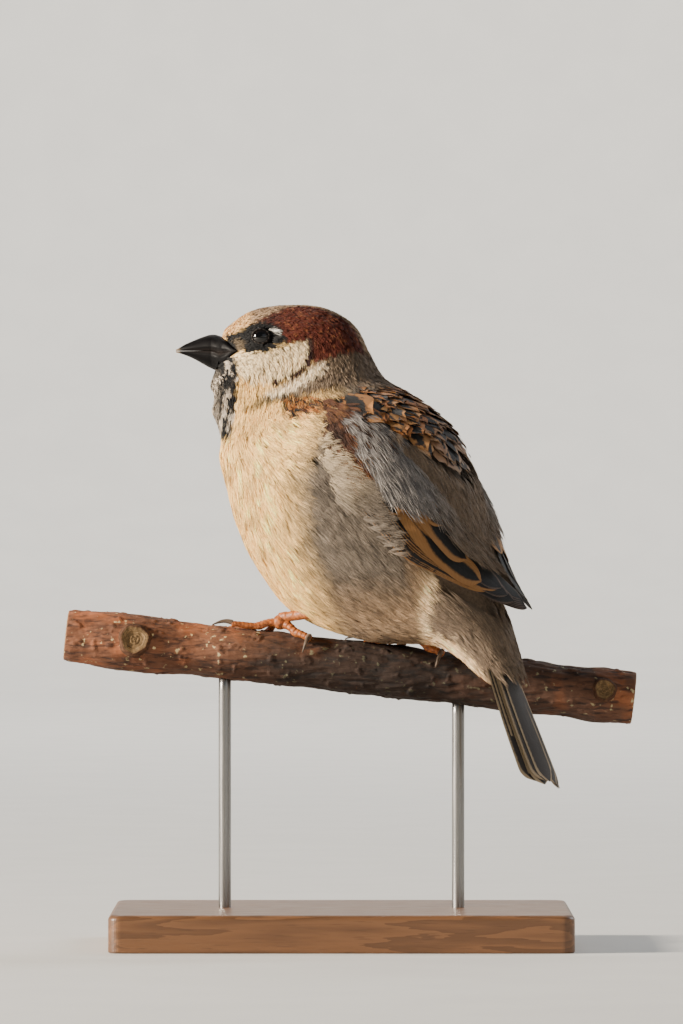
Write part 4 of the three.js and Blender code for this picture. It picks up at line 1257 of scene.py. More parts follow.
class SPARROW_OT_stand(SparrowOperator, bpy.types.Operator):
    """Make the plinth and the two rods that hold the branch."""

    bl_idname = "sparrow.stand"
    bl_label = "Display stand"

    def make(self, context, rng):
        parts = context.scene.sparrow_parts
        radius, chamfer, height = BASE["corner"], BASE["chamfer"], BASE["height"]

        def edge(inset, up):
            x, y = BASE["length"] / 2 - inset - radius, BASE["width"] / 2 - inset - radius
            turns = np.linspace(0, 90, 10) * RAD
            return np.concatenate([
                np.stack([cx + radius * np.cos(turns + start), cy + radius * np.sin(turns + start), 0 * turns + up], -1)
                for cx, cy, start in ((x, y, 0), (-x, y, TURN / 4), (-x, -y, TURN / 2), (x, -y, TURN * 0.75))])

        round_over = np.linspace(0, math.pi / 2, 7)[1:]
        rings = [edge(0.3, 0), edge(0, 0.3), edge(0, height - chamfer)]
        rings += [edge(chamfer * (1 - math.cos(a)), height - chamfer * (1 - math.sin(a))) for a in round_over]
        plinth = closed_tube(np.array(rings))
        make_piece("stand_plinth", plinth, walnut_material(parts), ["stand_base"], smooth_faces=False)

        rods = []
        for x in (-ROD_X, ROD_X):
            low = BASE["height"] - ROD_INTO_BASE
            high = PERCH_UP - PERCH_FALL * x - PERCH_RADIUS + ROD_INTO_PERCH
            centres = np.linspace((x, 0, low), (x, 0, high), 12)
            rods.append(tube_along(centres, np.array([1.0, 0, 0]), lambda u, angle: ROD_RADIUS + 0 * u * angle,
                                   around=40))
        make_piece("stand_rods", joined(rods), steel_material(parts),
                   ["stand_rod_left", "stand_rod_right"])


def knot_stub(knot, inks, around=40):
    """A pruned stub: a low collar of bark round a face that dips, with year rings."""
    share = np.linspace(0, 1, 26)[:, None]
    spin = np.linspace(0, TURN, around, endpoint=False)[None, :]
    radius = knot["radius"] * (1.12 - share * 1.1) * (1 + 0.05 * np.sin(3 * spin + 1) + 0.03 * np.sin(7 * spin))
    rise = knot["height"] * (smooth(share / 0.18) - 0.55 * smooth((share - 0.24) / 0.4)) - 0.15
    rise = rise + 0.07 * np.sin(share * 34) * smooth((share - 0.25) / 0.1) + 0.05 * np.sin(5 * spin + 3 * share)
    centre, above = (on_perch(np.array([knot["x"]]), np.array([knot["angle"]]), lift)[0] for lift in (0.0, 1.0))
    out = unit(above - centre)
    side = unit(np.cross(out, [1.0, 0, 0]))
    axes = out, np.cross(side, out), side
    rings = placed(centre, axes, rise, radius * np.cos(spin), radius * np.sin(spin))
    foot = knot["radius"] * 1.15
    back = placed(centre, axes, np.full_like(spin, -1.8), foot * np.cos(spin), foot * np.sin(spin))
    in_face = smooth((share - 0.2) / 0.08) + 0 * spin
    year = 0.75 + 0.25 * np.sin(share * 60 + 0.6 * np.sin(2 * spin))
    colour = blend(inks["bark"] * 1.25, inks["cut_wood"] * 0.62 * year[..., None], in_face[..., None])
    colour = np.concatenate([np.broadcast_to(inks["bark"], (1, around, 3)), colour])
    return tinted(closed_tube(np.concatenate([back, rings])), colour, [inks["bark"], inks["cut_wood"] * 0.3])


def sawn_end(x, sign, inks, around=80):
    """A sawn end: a thin disc with year rings and a dark pith, flush with the bark."""
    share = np.linspace(1, 0.02, 30)[:, None]
    spin = np.linspace(0, TURN, around, endpoint=False)[None, :]
    ring = on_perch(np.full((1, around), x), spin, -0.45)
    saw = 0.12 + 0.03 * np.sin(share * 40 * np.cos(spin + 0.7))
    ahead = np.array([sign, 0, 0])
    disc = blend(perch_centre(np.array(x)), ring, share[..., None]) + ahead * saw[..., None]
    year = 0.82 + 0.18 * np.sin(share * 46 + 0.5 * np.sin(3 * spin))
    colour = inks["cut_wood"] * year[..., None] * (0.6 + 0.4 * smooth(share / 0.15))[..., None]
    colour = np.concatenate([np.broadcast_to(inks["bark"], (1, around, 3)), colour])
    return tinted(closed_tube(np.concatenate([ring - ahead * 0.3, disc])), colour, [inks["bark"], inks["bark_dark"]])


class SPARROW_OT_perch(SparrowOperator, bpy.types.Operator):
    """Make the cut length of branch with its bark, its knots and its two sawn ends."""

    bl_idname = "sparrow.perch"
    bl_label = "Branch"

    def make(self, context, rng):
        parts, inks = context.scene.sparrow_parts, colours_of(context.scene.sparrow_parts)
        along = np.linspace(PERCH_FROM, PERCH_TO, 420)
        angle = np.linspace(0, TURN, 150, endpoint=False)
        x, turn = np.meshgrid(along, angle, indexing="ij")
        place = np.stack([x * 0.35, np.cos(turn) * 6, np.sin(turn) * 6], -1)
        ridges = ripple(place, 7.0, 11) * 0.16 + np.abs(ripple(place * [0.6, 1, 1], 2.6, 12)) * 0.14
        blisters = smooth((ripple(place * [2.5, 1, 1], 5.0, 13) - 0.9) / 0.5) * 0.25
        relief = ridges + blisters - 0.18
        near_end = smooth(np.minimum(x - PERCH_FROM, PERCH_TO - x) / 1.5)
        points = on_perch(x, turn, relief * near_end - 0.25 * (1 - near_end))
        bark = closed_tube(points)
        tone = smooth(0.5 + ripple(place, 16.0, 14) * 0.5)[..., None]
        # Painted shade: the bark darkens towards the branch's underside.
        under = smooth((-np.cos(turn) + 0.1) / 1.0)[..., None]
        # Painted shadow in the middle, where the bird's shadow falls on the branch, and painted light, brighter and
        # warmer, towards both ends.
        painted_light_and_shadow = np.interp(x, [-66, -36, -14, 25, 45, 70], [3.2, 2.8, 0.8, 0.32, 1.3, 2.1])[..., None]
        colour = np.array([1.0, 0.93, 0.88]) ** painted_light_and_shadow * painted_light_and_shadow * (0.75 + 0.5 * tone) * (1 - 0.35 * under)
        make_piece("branch_bark", tinted(bark, colour, np.ones((2, 3))), bark_material(parts), ["perch"])

        stubs = joined([knot_stub(knot, inks) for knot in KNOTS])
        ends = joined([sawn_end(x, sign, inks) for x, sign in ((PERCH_FROM, -1), (PERCH_TO, 1))])
        knot_piece = make_piece("branch_knots", stubs,
                                horn_material("knot_wood_weathered", 0.8, 0.7, (1, 1, 1), 0.2))
        end_piece = make_piece("branch_sawn_ends", ends,
                               horn_material("end_grain_sawn", 0.7, 0.4, (1, 1, 1), 0.08))
        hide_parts("perch")
        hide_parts("perch")


class SPARROW_OT_skin(SparrowOperator, bpy.types.Operator):
    """Make the skin: one closed body under the coat, with the two wings' flesh."""

    bl_idname = "sparrow.skin"
    bl_label = "Skin"

    def make(self, context, rng):
        inks = colours_of(context.scene.sparrow_plumage)
        section, angle = np.meshgrid(np.linspace(0, LAST_SECTION, 170),
                                     np.linspace(0, TURN, 120, endpoint=False), indexing="ij")
        body = closed_tube(raised(BODY, section, angle, -coat_depth(section)))
        body = body._replace(points=around_perch(body.points))
        colour = markings(*BODY.view(section, angle), inks)[0]
        parts = [tinted(body, colour, [colour[0, 0], colour[-1, -1]])]
        for form in WINGS.values():
            across = np.linspace(0.03, 0.97, 16)
            along, across = np.meshgrid(np.linspace(0.03, 0.8, 40), np.concatenate([across, across[::-1]]),
                                        indexing="ij")
            depth = np.repeat([1.5, 3.2], 16)[None, :] + 0 * along
            parts.append(tinted(closed_tube(raised(form, along, across, -depth)), inks["back"] * 0.5))
        make_piece("skin", joined(parts), skin_material(),
                   ["trunk", "neck", "head", "wing_left", "wing_right"])


class SPARROW_OT_bill(SparrowOperator, bpy.types.Operator):
    """Make the two halves of the bill."""

    bl_idname = "sparrow.bill"
    bl_label = "Bill"

    def make(self, context, rng):
        inks = colours_of(context.scene.sparrow_parts)
        steps, around = 96, 64
        for name, heights, sign in (("upper", CULMEN, 1), ("lower", GONYS, -1)):
            t = blend(GAPE_CORNER, 1, np.linspace(0, 1, steps)[:, None] ** 0.9)
            angle = np.linspace(0, math.pi, around)[None, :]
            # Behind the base each half hugs the face: its sides stand upright and its height shrinks to
            # nothing at the gape's corner.
            half = np.interp(t, *BILL_FLARE) + spline(BILL_HALF, np.maximum(t, 0) * 5)[..., 0]
            height = spline(heights, np.maximum(t, 0) * 5)[..., 0] * (1 - np.clip(t / GAPE_CORNER, 0, 1) ** 1.25)
            gape = blend(GAPE_UP, GAPE_TIP_UP, t) - 0.9 * smooth((0.3 - np.maximum(t, 0)) / 0.4) ** 2
            gape = gape + 0.4 * smooth(t / GAPE_CORNER)
            # A rounded cone whose cutting edge turns in a little under its widest line.
            square = 1 - 0.76 * smooth((0.12 - t) / 0.3)
            bulge = np.abs(np.sin(angle)) ** 0.86
            edge = 1 - 0.12 * (1 - smooth(np.sin(angle) / 0.25)) * smooth((t + 0.3) / 0.3)
            ridge = 1 + 0.035 * np.exp(-((angle - math.pi / 2) / 0.16) ** 2)
            left = half * np.sign(np.cos(angle)) * np.abs(np.cos(angle)) ** square * edge
            up = gape + sign * (0.05 * smooth((t - 0.1) / 0.2) + height * bulge * ridge)
            nostril = np.exp(-((t - 0.06) / 0.05) ** 2 - ((np.abs(np.cos(angle)) - 0.55) / 0.16) ** 2)
            left = left * (1 - 0.1 * nostril * (sign > 0))
            forward = BILL_BASE + BILL_LENGTH * t + 0 * angle
            rings = to_world(np.stack([forward, left, up], -1), HEAD_HEADING)
            ridge_share = np.exp(-((angle - math.pi / 2) / 0.35) ** 2) * (0.8 if sign > 0 else 0.25)
            rim = np.exp(-(np.sin(angle) / 0.12) ** 2) * 0.35
            tip = smooth((t - 0.86) / 0.14) * 0.8 + 0 * angle
            # The nostril is darkened to a fifth of the bill's colour: a painted shade in its hollow.
            colour = painted(inks["bill"] * (1 if sign > 0 else 0.6), [
                (ridge_share * smooth((t + 0.1) / 0.3), inks["bill_ridge"]), (rim + 0 * t, inks["bill_ridge"]),
                (tip, inks["bill_tip"]), (nostril * (sign > 0) * 0.9, inks["bill"] * 0.2)], (steps, around))
            make_piece(f"bill_{name}_horn", tinted(closed_tube(rings), colour, [inks["bill"], inks["bill_tip"]]),
                       horn_material(f"bill_{name}_keratin_grown", 0.5, 1.6, (0.25, 1, 1), 0.03, gloss=0.08),
                       [f"bill_{name}"])


def eye_frame(side):
    """The eye's centre, the way it looks, and the two directions across it: forward and up."""
    centre = to_world(np.array([EYE_AT[0] - EYE_SUNK, side * EYE_AT[1], EYE_AT[2] - 0.1]), HEAD_HEADING)
    out = unit(heading_of(np.array([0.03, side * 0.985, 0.12]), HEAD_HEADING))
    ahead = heading_of(np.array([1.0, 0, -0.06]), HEAD_HEADING)
    ahead = unit(ahead - out * dot(ahead, out))
    up = np.cross(out, ahead) * side
    return centre, out, ahead, up if up[2] > 0 else -up


def eyeball(side, inks):
    """A ball a little raised at its cornea, with a ring of iris round the pupil."""
    centre, *axes = eye_frame(side)
    polar = np.linspace(0.01, math.pi - 0.01, 48)[:, None]
    spin = np.linspace(0, TURN, EYE_SIDES, endpoint=False)[None, :]
    bulge = EYE_RADIUS * (1 + 0.02 * np.exp(-(polar / 0.45) ** 2)) + 0 * spin
    rings = placed(centre, axes, bulge * np.cos(polar), bulge * np.sin(polar) * np.cos(spin),
                   bulge * np.sin(polar) * np.sin(spin))
    in_iris = smooth((polar - 0.36) / 0.05) * smooth((0.74 - polar) / 0.06)
    colour = painted(inks["iris"] * 0.06, [(in_iris + 0 * spin, inks["iris"])], bulge.shape)
    return tinted(closed_tube(rings), colour, colour[[0, -1], 0])


def eyelid(side, opening, inks):
    """A lid ring: from inside the opening over a rounded rim, and down under the feathers and back."""
    centre, *axes = eye_frame(side)
    spin = np.linspace(0, TURN, EYE_SIDES, endpoint=False)[None, :]
    share = np.linspace(0, 1, 18)[:, None]
    high = opening * 0.84
    across = blend(opening, opening + 1.25, share) * np.cos(spin)
    upward = blend(high, high + 1.15, share) * np.sin(spin)
    on_ball = np.sqrt(np.maximum(EYE_RADIUS ** 2 - across ** 2 - upward ** 2, 0.3))
    rim = np.exp(-((share - 0.2) / 0.16) ** 2)
    wrinkle = 0.05 * np.sin(13 * spin) + 0.03 * np.sin(29 * spin + 1)
    lift = on_ball + 0.06 + 0.3 * rim + wrinkle * rim - 0.35 * smooth((share - 0.4) / 0.6)
    lift = lift - 0.25 * (1 - smooth(share / 0.08))
    lid = placed(centre, axes, lift, across, upward)
    under = placed(centre, axes, lift[::-1] - 0.3, across[::-1], upward[::-1])
    rings = np.concatenate([lid, under, lid[:1]])
    faces = triangles(grid_faces(len(rings), EYE_SIDES, wrap=True))
    flecks = smooth((np.sin(13 * spin) - 0.3) / 0.5) * rim
    tone = painted(inks["lid"] * 0.55, [(flecks, inks["lid"] * 2.6)], across.shape)
    # The part that runs under the feathers is half as bright: a painted shade beneath them.
    tone = np.concatenate([tone, tone[::-1] * 0.5, tone[:1]]).reshape(-1, 3)
    return tinted(outward(Part(rings.reshape(-1, 3), faces, {}, {})), tone)


class SPARROW_OT_eyes(SparrowOperator, bpy.types.Operator):
    """Make the eyeballs, and the bare lids round them."""

    bl_idname = "sparrow.eyes"
    bl_label = "Eyes and lids"

    def make(self, context, rng):
        inks = colours_of(context.scene.sparrow_parts)
        opening = context.scene.sparrow_sizes.eye_opening / MM / 2
        balls, lids = zip(*((eyeball(side, inks), eyelid(side, opening, inks)) for side in (1, -1)))
        make_piece("eyeballs", joined(balls), eye_material(), ["eye_left", "eye_right"])
        make_piece("eyelids", joined(lids), horn_material("eyelid_skin_wrinkled", 0.6, 0.3, (1, 1, 1), 0.05))


class SPARROW_OT_feet(SparrowOperator, bpy.types.Operator):
    """Make the shanks, the toes and the claws that grip the branch."""

    bl_idname = "sparrow.feet"
    bl_label = "Legs and feet"

    def make(self, context, rng):
        inks = colours_of(context.scene.sparrow_parts)
        skin = scaled_skin_material()
        shanks = joined([shank(foot, inks) for foot in FEET])
        toes, claws = (joined([grow(foot, shape, inks) for foot in FEET for shape in TOES.values()])
                       for grow in (toe, claw))
        names = [f"{side}_{name}" for side in ("left", "right") for name in TOES]
        make_piece("shanks", shanks, skin, ["leg_left", "leg_right"])
        make_piece("toes", toes, skin, [f"toe_{name}" for name in names])
        make_piece("claws", claws, horn_material("claw_keratin_grown", 0.35, 0.8, (0.5, 1, 1), 0.02),
                   [f"claw_{name}" for name in names])


class SPARROW_OT_wing_feathers(SparrowOperator, bpy.types.Operator):
    """Make the folded wings' long feathers: coverts, tertials, secondaries and primaries."""

    bl_idname = "sparrow.wing_feathers"
    bl_label = "Wing feathers"
    seed = 21

    def make(self, context, rng):
        inks = colours_of(context.scene.sparrow_plumage)
        for name, rows, dark_from in (("covert", COVERT_ROWS, -0.2), ("tertial", TERTIAL_ROWS, 0.3)):
            vanes = [wing_row(form, WING_ROWS[row], inks, rng) for row in rows for form in WINGS.values()]
            make_piece(f"{name}_feathers", joined(vanes),
                       vane_material(f"{name}_vane_grown", 0.42, "#0C0A09", 0.13, 0.75, 22.0, dark_from=dark_from),
                       ["wing_left", "wing_right"])
        primaries = [wing_row(form, WING_ROWS[PRIMARY_ROW], inks, rng) for form in WINGS.values()]
        make_piece("primary_feathers", joined(primaries),
                   vane_material("primary_vane_grown", 0.36, "#0C0A09", 0.05, 0.75, 24.0),
                   ["primaries_left", "primaries_right"])


class SPARROW_OT_tail(SparrowOperator, bpy.types.Operator):
    """Make the twelve tail feathers, closed, with the middle pair on top."""

    bl_idname = "sparrow.tail"
    bl_label = "Tail feathers"
    seed = 22

    def make(self, context, rng):
        inks = colours_of(context.scene.sparrow_plumage)
        back = np.array([-math.cos(TAIL_DOWN), 0, -math.sin(TAIL_DOWN)])
        up = np.array([-math.sin(TAIL_DOWN), 0, math.cos(TAIL_DOWN)])
        rank = np.repeat(np.arange(6), 2)[:, None]
        side = np.tile([1.0, -1.0], 6)[:, None]
        t = tip_dense(40)[None, :]
        tip_out = side * np.repeat(TAIL_TIPS[:, None], 2, 0)
        share = tip_out / TAIL_HALF
        length = TAIL_LENGTH - TAIL_OUTER_SHORTER * share ** 2 - TAIL_LEFT_SHORTER * (1 + share) / 2 \
            + rng.normal(0, 0.35, rank.shape)
        run = blend(TAIL_START, length, t)
        left = blend(0.45 * tip_out, tip_out, t) + 0.25 * side * np.sin(math.pi * t)
        rise = 0.55 - 0.24 * rank - 0.05 * (side < 0) - TAIL_ARCH * (left / TAIL_HALF) ** 2
        path = to_world(placed(TAIL_ROOT, (back, up, ASIDE), run, rise, left), BODY_HEADING)
        normal = heading_of(placed(up, [0.06 * ASIDE], left), BODY_HEADING)
        half = np.full(12, TAIL_VANE_HALF)
        colours = (with_alpha(inks["tail"], 0.85, 12), with_alpha(inks["tail_edge"], length[:, 0] / 100, 12))
        part = stiff_feathers(path, unit(normal), half, SQUARED, colours, camber=0.12)
        make_piece("tail_feathers", part, vane_material("tail_vane_grown", 0.38, "#15100D", 0.09, 0.68, 30.0),
                   ["tail"])


def tuft_piece(name, parts, replaces):
    """Loose feathers as one coat piece."""
    make_piece(name, joined(parts), down_material(), replaces)


def from_line(points, centre, direction):
    """How far points lie from a line through a centre."""
    gap = points - centre
    return np.linalg.norm(gap - dot(gap, direction)[..., None] * direction, axis=-1)


class SPARROW_OT_head_coat(SparrowOperator, bpy.types.Operator):
    """Cover the head and neck with short, dense feathers that part round the eye and the bill."""

    bl_idname = "sparrow.head_coat"
    bl_label = "Head feathers"
    seed = 31

    def make(self, context, rng):
        inks, sizes = colours_of(context.scene.sparrow_plumage), context.scene.sparrow_sizes
        face, crown = sizes.face_length / MM, sizes.head_length / MM
        for name, u_span, spacing in (("face", (0.02, 3.9), sizes.head_spacing / MM),
                                      ("nape", (3.7, 7.0), 1.2 * sizes.head_spacing / MM)):
            u, v = scatter(BODY, spacing, rng, u_span=u_span)
            roots = Roots(u, v, rng.normal(0, 0.16, len(u)))
            length = np.interp(u, [0, 1.2, 3, 5, 7], [0.8 * face, face, 0.8 * crown, crown, 1.5 * crown])
            # Feathers stop short of the eye, and none stands on it.
            place, ahead = BODY.point(u, v), lay(BODY, roots, length, 0 * length, 0 * length)
            clear = zone("gape", *BODY.view(u, v)[:2], 0.1) < 0.5
            for side in (1, -1):
                centre, out, _, _ = eye_frame(side)
                from_eye, near = from_line(place, centre, out), dot(place - centre, out) > 0
                clear &= ~(near & (from_eye < EYE_BARE))
                shorter = np.clip(from_eye - 2.0, 0.35, 1)
                heads_in = near & (from_line(ahead, centre, out) < from_eye)
                length = np.where(heads_in & (from_eye < 2.0 + length), length * shorter, length)
            roots, length = keep(roots, clear), length[clear]
            q, z, out = shown_at(BODY, roots, length)
            middle, tip = markings(q, z, out, inks, rng)
            worn = rng.random((len(q), 1)) < 0.7
            tip = np.where(worn, tip, middle)
            size = Size(length * rng.uniform(0.85, 1.15, len(q)), 0.22, 0.42, 0.12, 0.85 * coat_depth(roots.u))
            # The root's colour is a darker copy of the middle: painted shade deep in the coat.
            part = loose_feathers(BODY, roots, size, 7, (middle * 0.88, middle, tip), rng)
            tuft_piece(f"coat_{name}", [part], ["head", "neck"])


class SPARROW_OT_body_coat(SparrowOperator, bpy.types.Operator):
    """Cover the breast, flanks, belly, rump and undertail with long, loose feathers."""

    bl_idname = "sparrow.body_coat"
    bl_label = "Body feathers"
    seed = 41

    def make(self, context, rng):
        inks, sizes = colours_of(context.scene.sparrow_plumage), context.scene.sparrow_sizes
        for name, u_span, barbs in (("breast", (6.5, 9.2), 13), ("flanks", (9.0, 11.4), 13),
                                    ("belly", (11.2, 13.0), 12), ("rump", (12.8, 14.9), 12)):
            u, v = scatter(BODY, sizes.body_spacing / MM, rng, u_span=u_span)
            angle = np.abs((v + math.pi) % TURN - math.pi) / RAD
            toward_back = -np.sign(np.sin(v))
            sweep = 0.55 * smooth((angle - 35) / 30) * smooth((135 - angle) / 40) * smooth((12.5 - u) / 2)
            roots = Roots(u, v, toward_back * sweep + rng.normal(0, 0.14, len(u)))
            streaked = zone("mantle", *BODY.view(u, v)[:2], 0.5) > 0.5
            roots = keep(roots, (over_wing(BODY.point(u, v)) > -0.6) & ~(streaked & (angle < 80)))
            angle = np.abs((roots.v + math.pi) % TURN - math.pi) / RAD
            n = len(roots.u)
            length = sizes.body_length / MM * np.interp(roots.u, [6.5, 8, 11, 13, 15], [0.7, 1, 1.1, 1.0, 0.7])
            length = length * rng.uniform(0.85, 1.15, n)
            middle, tip = markings(*shown_at(BODY, roots, length), inks, rng)
            back_half = 62 + 50 * smooth((roots.u - 12) / 1.5)
            on_back = (smooth((back_half - angle) / 14) * smooth((roots.u - 7.5) / 0.8))[:, None]
            middle, tip = blend(middle, inks["back"], on_back), blend(tip, inks["back"] * 1.15, on_back)
            # Silvery and dusky feathers lie among the others on the sides.
            mixture = rng.random(n)
            on_side = smooth((angle - 50) / 20) * smooth((150 - angle) / 30)
            shade = rng.uniform(0.82, 1.14, n) + (0.5 * (mixture > 0.84) - 0.14 * (mixture < 0.16)) * on_side
            middle, tip = middle * shade[:, None], tip * (shade + 0.1 * on_side)[:, None]
            size = Size(length, sizes.barb_width / MM, 0.34, 0.25, 0.8 * coat_depth(roots.u))
            # The root's colour is a darker copy of the middle: painted shade deep in the coat.
            part = loose_feathers(BODY, roots, size, barbs, (middle * 0.78, middle, tip), rng)
            part = part._replace(points=around_perch(part.points))
            tuft_piece(f"coat_{name}", [part], ["trunk"])


class SPARROW_OT_mantle(SparrowOperator, bpy.types.Operator):
    """Cover the mantle and the wings' shoulders with streaked and chestnut vaned feathers."""

    bl_idname = "sparrow.mantle"
    bl_label = "Mantle and shoulder feathers"
    seed = 51

    def make(self, context, rng):
        inks, spacing = colours_of(context.scene.sparrow_plumage), context.scene.sparrow_sizes.mantle_spacing / MM
        parts = []
        for form, u_span, v_span, raise_by in ((BODY, (6.2, 10.9), (-80 * RAD, 80 * RAD), 0.0),
                                               (WINGS["left"], (0.02, 0.46), (-0.1, 0.5), 0.55),
                                               (WINGS["right"], (0.02, 0.46), (-0.1, 0.5), 0.55)):
            u, v = scatter(form, spacing, rng, u_span=u_span, v_span=v_span)
            roots = Roots(u, v, rng.normal(0, 0.1, len(u)) + (0 if form is BODY else 0.1))
            length = np.full(len(u), 9.4) * rng.uniform(0.8, 1.15, len(u))
            q, z, _ = shown_at(form, roots, length)
            mask = zone("mantle", q, z, 0.8) > rng.uniform(0.3, 0.7, len(u))
            if form is BODY:
                mask &= over_wing(form.point(u, v)) > -0.3
            roots, length, q = keep(roots, mask), length[mask], q[mask]
            n = len(length)
            edge = blend(inks["mantle_orange"], inks["mantle_buff"], rng.random((n, 1)))
            edge = blend(edge, inks["back"] * 1.2, 0.8 * smooth((-24 - q) / 14)[:, None])
            limit = rng.choice([0.5, 0.65, 0.85], n, p=[0.3, 0.35, 0.35])
            colours = with_alpha(inks["black"], limit, n), with_alpha(edge, length / 100, n)
            depth = coat_depth(roots.u) * 0.8 if form is BODY else np.full(n, 0.6)
            size = Size(length, rng.uniform(4.0, 5.2, n), rng.choice([-0.4, 0.3], n), 0.15 + raise_by,
                        depth - raise_by * 0.5)
            parts.append(vane_feathers(form, roots, size, colours, rng))
        material = vane_material("mantle_vane_grown", 0.4, "#17110E", 0.16, 0.75, waver=0.6, blotch=1.3)
        make_piece("coat_mantle_and_shoulders", joined(parts), material, ["trunk"])


# Where the loose grey feathers' tips end on the wing, and where the flank's begin: along and across.
DRAPE_LIMIT = ((0.0, 0.08, 0.15, 0.22, 0.28, 0.34, 0.385, 0.45, 0.5, 0.56, 0.66, 0.71, 0.76, 0.81, 0.87, 0.91),
               (0.5, 0.44, 0.46, 0.57, 0.68, 0.79, 0.8, 0.84, 0.71, 0.58, 0.51, 0.51, 0.57, 0.46, 0.2, -0.4))
FLANK_LIMIT = ((0.0, 0.07, 0.19, 0.27, 0.34, 0.4, 0.45, 0.5, 0.56, 0.7),
               (0.72, 0.75, 0.74, 0.80, 0.78, 0.76, 0.84, 0.90, 0.99, 1.05))


def lesser_coverts(form, sizes, inks, rng):
    """Soft chestnut feathers on the wing's shoulder, brighter and darker in streaks."""
    u, v = scatter(form, 1.15, rng, u_span=(-0.03, 0.31), v_span=(0.25, 0.96))
    n = len(u)
    roots = Roots(u, v, rng.normal(0, 0.12, n))
    length = rng.uniform(4.6, 6.2, n)
    streak = ripple(np.stack([u * 12, v * 9], -1), 5.0, 62)[:, None] + rng.normal(0, 0.35, (n, 1))
    middle = inks["covert"] * np.clip(1 + 0.45 * streak, 0.25, 1.9)
    tip = blend(middle, inks["covert_edge"], np.clip(0.1 + 0.45 * streak, 0, 0.8))
    size = Size(length, sizes.barb_width / MM, 0.26, 0.3, np.full(n, 0.5))
    # The root's colour is a darker copy of the middle: painted shade deep in the coat.
    return loose_feathers(form, roots, size, 10, (middle * 0.8, middle, tip), rng)


def grey_drape(form, reach, sizes, inks, rng):
    """Long loose feathers from the back, grey in front and brown behind, that end along DRAPE_LIMIT."""
    u, v = scatter(form, 1.3, rng, u_span=(-0.05, 0.84), v_span=(-0.3, 0.8))
    roots = Roots(u, v, 0.22 + rng.normal(0, 0.14, len(u)))
    length = sizes.drape_length / MM * np.interp(u, [0, 0.3, 0.6, 1], [0.7, 1.0, 1.1, 0.9])
    length = length * rng.uniform(0.85, 1.15, len(u))
    end_u, end_v = moved(form, roots, length, 0 * length)
    q, z, _ = shown_at(form, roots, length)
    mask = end_v < np.interp(end_u + reach, *DRAPE_LIMIT) + rng.normal(0, 0.025, len(u))
    mask &= (zone("mantle", q, z, 0.6) < 0.6) & (zone("mantle", *form.view(u, v)[:2], 0.6) < 0.85)
    roots, length, q = keep(roots, mask), length[mask], q[mask]
    n = len(length)
    brown = smooth((-26 - q) / 14)[:, None]
    start = smooth((0.2 - roots.u) / 0.2)[:, None]
    middle = inks["drape"] * (1 + 0.2 * start) + (inks["back"] - inks["drape"]) * brown
    tip = blend(inks["drape_tip"], inks["back"] * 1.25, brown)
    middle = middle * rng.uniform(0.6, 1.25, (n, 1))
    size = Size(length, sizes.barb_width / MM, 0.3, 0.65, np.full(n, 0.5))
    # The root's colour is a darker copy of the middle: painted shade deep in the coat.
    return loose_feathers(form, roots, size, 12, (middle * 0.8, middle, tip), rng)


def flank_fringe(form, sizes, inks, rng):
    """Flank feathers that sweep up over the wing's lower edge, as far as FLANK_LIMIT. Beyond the edge
    they start from the body, and rise to the wing as they pass over it."""
    u, v = scatter(form, 0.85, rng, u_span=(-0.07, 0.5), v_span=(0.9, 1.25))
    roots = Roots(u, v, -0.62 + rng.normal(0, 0.13, len(u)))
    length = sizes.body_length / MM * rng.uniform(0.8, 1.3, len(u))
    end_u, end_v = moved(form, roots, length, 0 * length)
    mask = end_v > np.interp(end_u, *FLANK_LIMIT) + rng.normal(0, 0.03, len(u))
    height = height_over(form.point(u, v), BODY, (6, 14), (0, TURN), 4.0)
    sink = 0.8 + (1 + np.clip(height, 0, 7)) * smooth((v - 0.96) / 0.12)
    mask &= (height > -2.6) & (height < 9.5) & ((v < 1.12) | (height < 2.6))
    roots, length, sink = keep(roots, mask), length[mask], sink[mask]
    middle, tip = markings(*shown_at(form, roots, length), inks, rng)
    silver = (0.35 * smooth((0.34 - roots.u) / 0.2) * rng.uniform(0.5, 1.0, len(length)))[:, None]
    middle, tip = blend(middle, inks["cheek"], silver), blend(tip, inks["cheek"], silver)
    size = Size(length, 0.8 * sizes.barb_width / MM, 0.3, 0.6, sink)
    # The root's colour is a darker copy of the middle: painted shade deep in the coat.
    return loose_feathers(form, roots, size, 12, (middle * 0.85, middle, tip), rng)


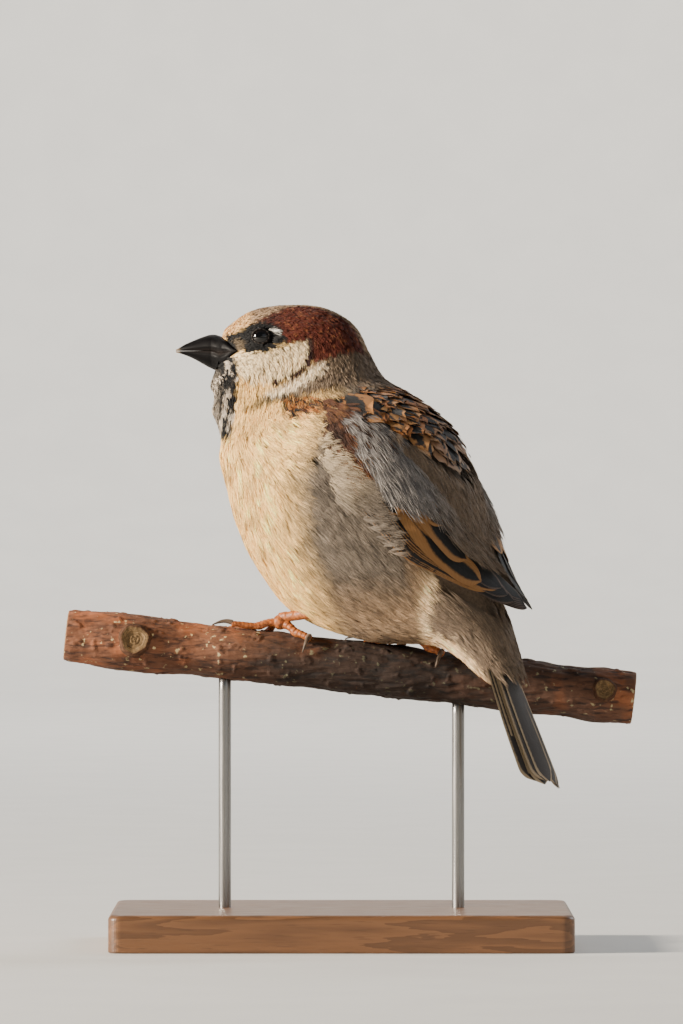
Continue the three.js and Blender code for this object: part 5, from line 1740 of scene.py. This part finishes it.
class SPARROW_OT_wing_drape(SparrowOperator, bpy.types.Operator):
    """Lay soft coverts and the loose grey back feathers over the wings, and flank feathers over their
    lower edge."""

    bl_idname = "sparrow.wing_drape"
    bl_label = "Feathers over the wings"
    seed = 61

    def make(self, context, rng):
        shared = context.scene.sparrow_sizes, colours_of(context.scene.sparrow_plumage), rng
        for side, form in WINGS.items():
            # The right wing's drape ends further forward along the wing.
            reach = 0.0 if side == "left" else 0.14
            parts = [lesser_coverts(form, *shared), grey_drape(form, reach, *shared), flank_fringe(form, *shared)]
            tuft_piece(f"coat_over_wing_{side}", parts, [f"wing_{side}"])


class SPARROW_PT_panel(bpy.types.Panel):
    """The sidebar's list of what this add-on makes."""

    bl_idname = "SPARROW_PT_panel"
    bl_label = "House sparrow"
    bl_space_type = "VIEW_3D"
    bl_region_type = "UI"
    bl_category = "Sparrow"

    def draw(self, context):
        layout = self.layout
        for operator in OPERATORS:
            layout.operator(operator.bl_idname)
        for label, group in (("Sizes", "sparrow_sizes"), ("Plumage", "sparrow_plumage"),
                             ("Bare parts and stand", "sparrow_parts")):
            layout.label(text=label)
            settings = getattr(context.scene, group)
            for key in type(settings).__annotations__:
                layout.prop(settings, key)


GROUPS = {"sparrow_sizes": SparrowSizes, "sparrow_plumage": PlumageColours, "sparrow_parts": PartColours}
OPERATORS = (SPARROW_OT_stage, SPARROW_OT_stand, SPARROW_OT_perch, SPARROW_OT_skin, SPARROW_OT_bill,
             SPARROW_OT_eyes, SPARROW_OT_feet, SPARROW_OT_wing_feathers, SPARROW_OT_tail,
             SPARROW_OT_head_coat, SPARROW_OT_body_coat, SPARROW_OT_mantle, SPARROW_OT_wing_drape)


def register():
    """Registers the groups of properties, the operators and the panel, and adds the groups to scenes."""
    for kind in (*GROUPS.values(), *OPERATORS, SPARROW_PT_panel):
        bpy.utils.register_class(kind)
    for key, group in GROUPS.items():
        setattr(bpy.types.Scene, key, bpy.props.PointerProperty(type=group))


def unregister():
    """Takes away what register added, in the opposite order."""
    for key in GROUPS:
        delattr(bpy.types.Scene, key)
    for kind in (SPARROW_PT_panel, *reversed(OPERATORS), *GROUPS.values()):
        bpy.utils.unregister_class(kind)


def main():
    """Makes every piece in order."""
    register()
    for operator in OPERATORS:
        family, name = operator.bl_idname.split(".")
        getattr(getattr(bpy.ops, family), name)()


if __name__ == "__main__":
    main()
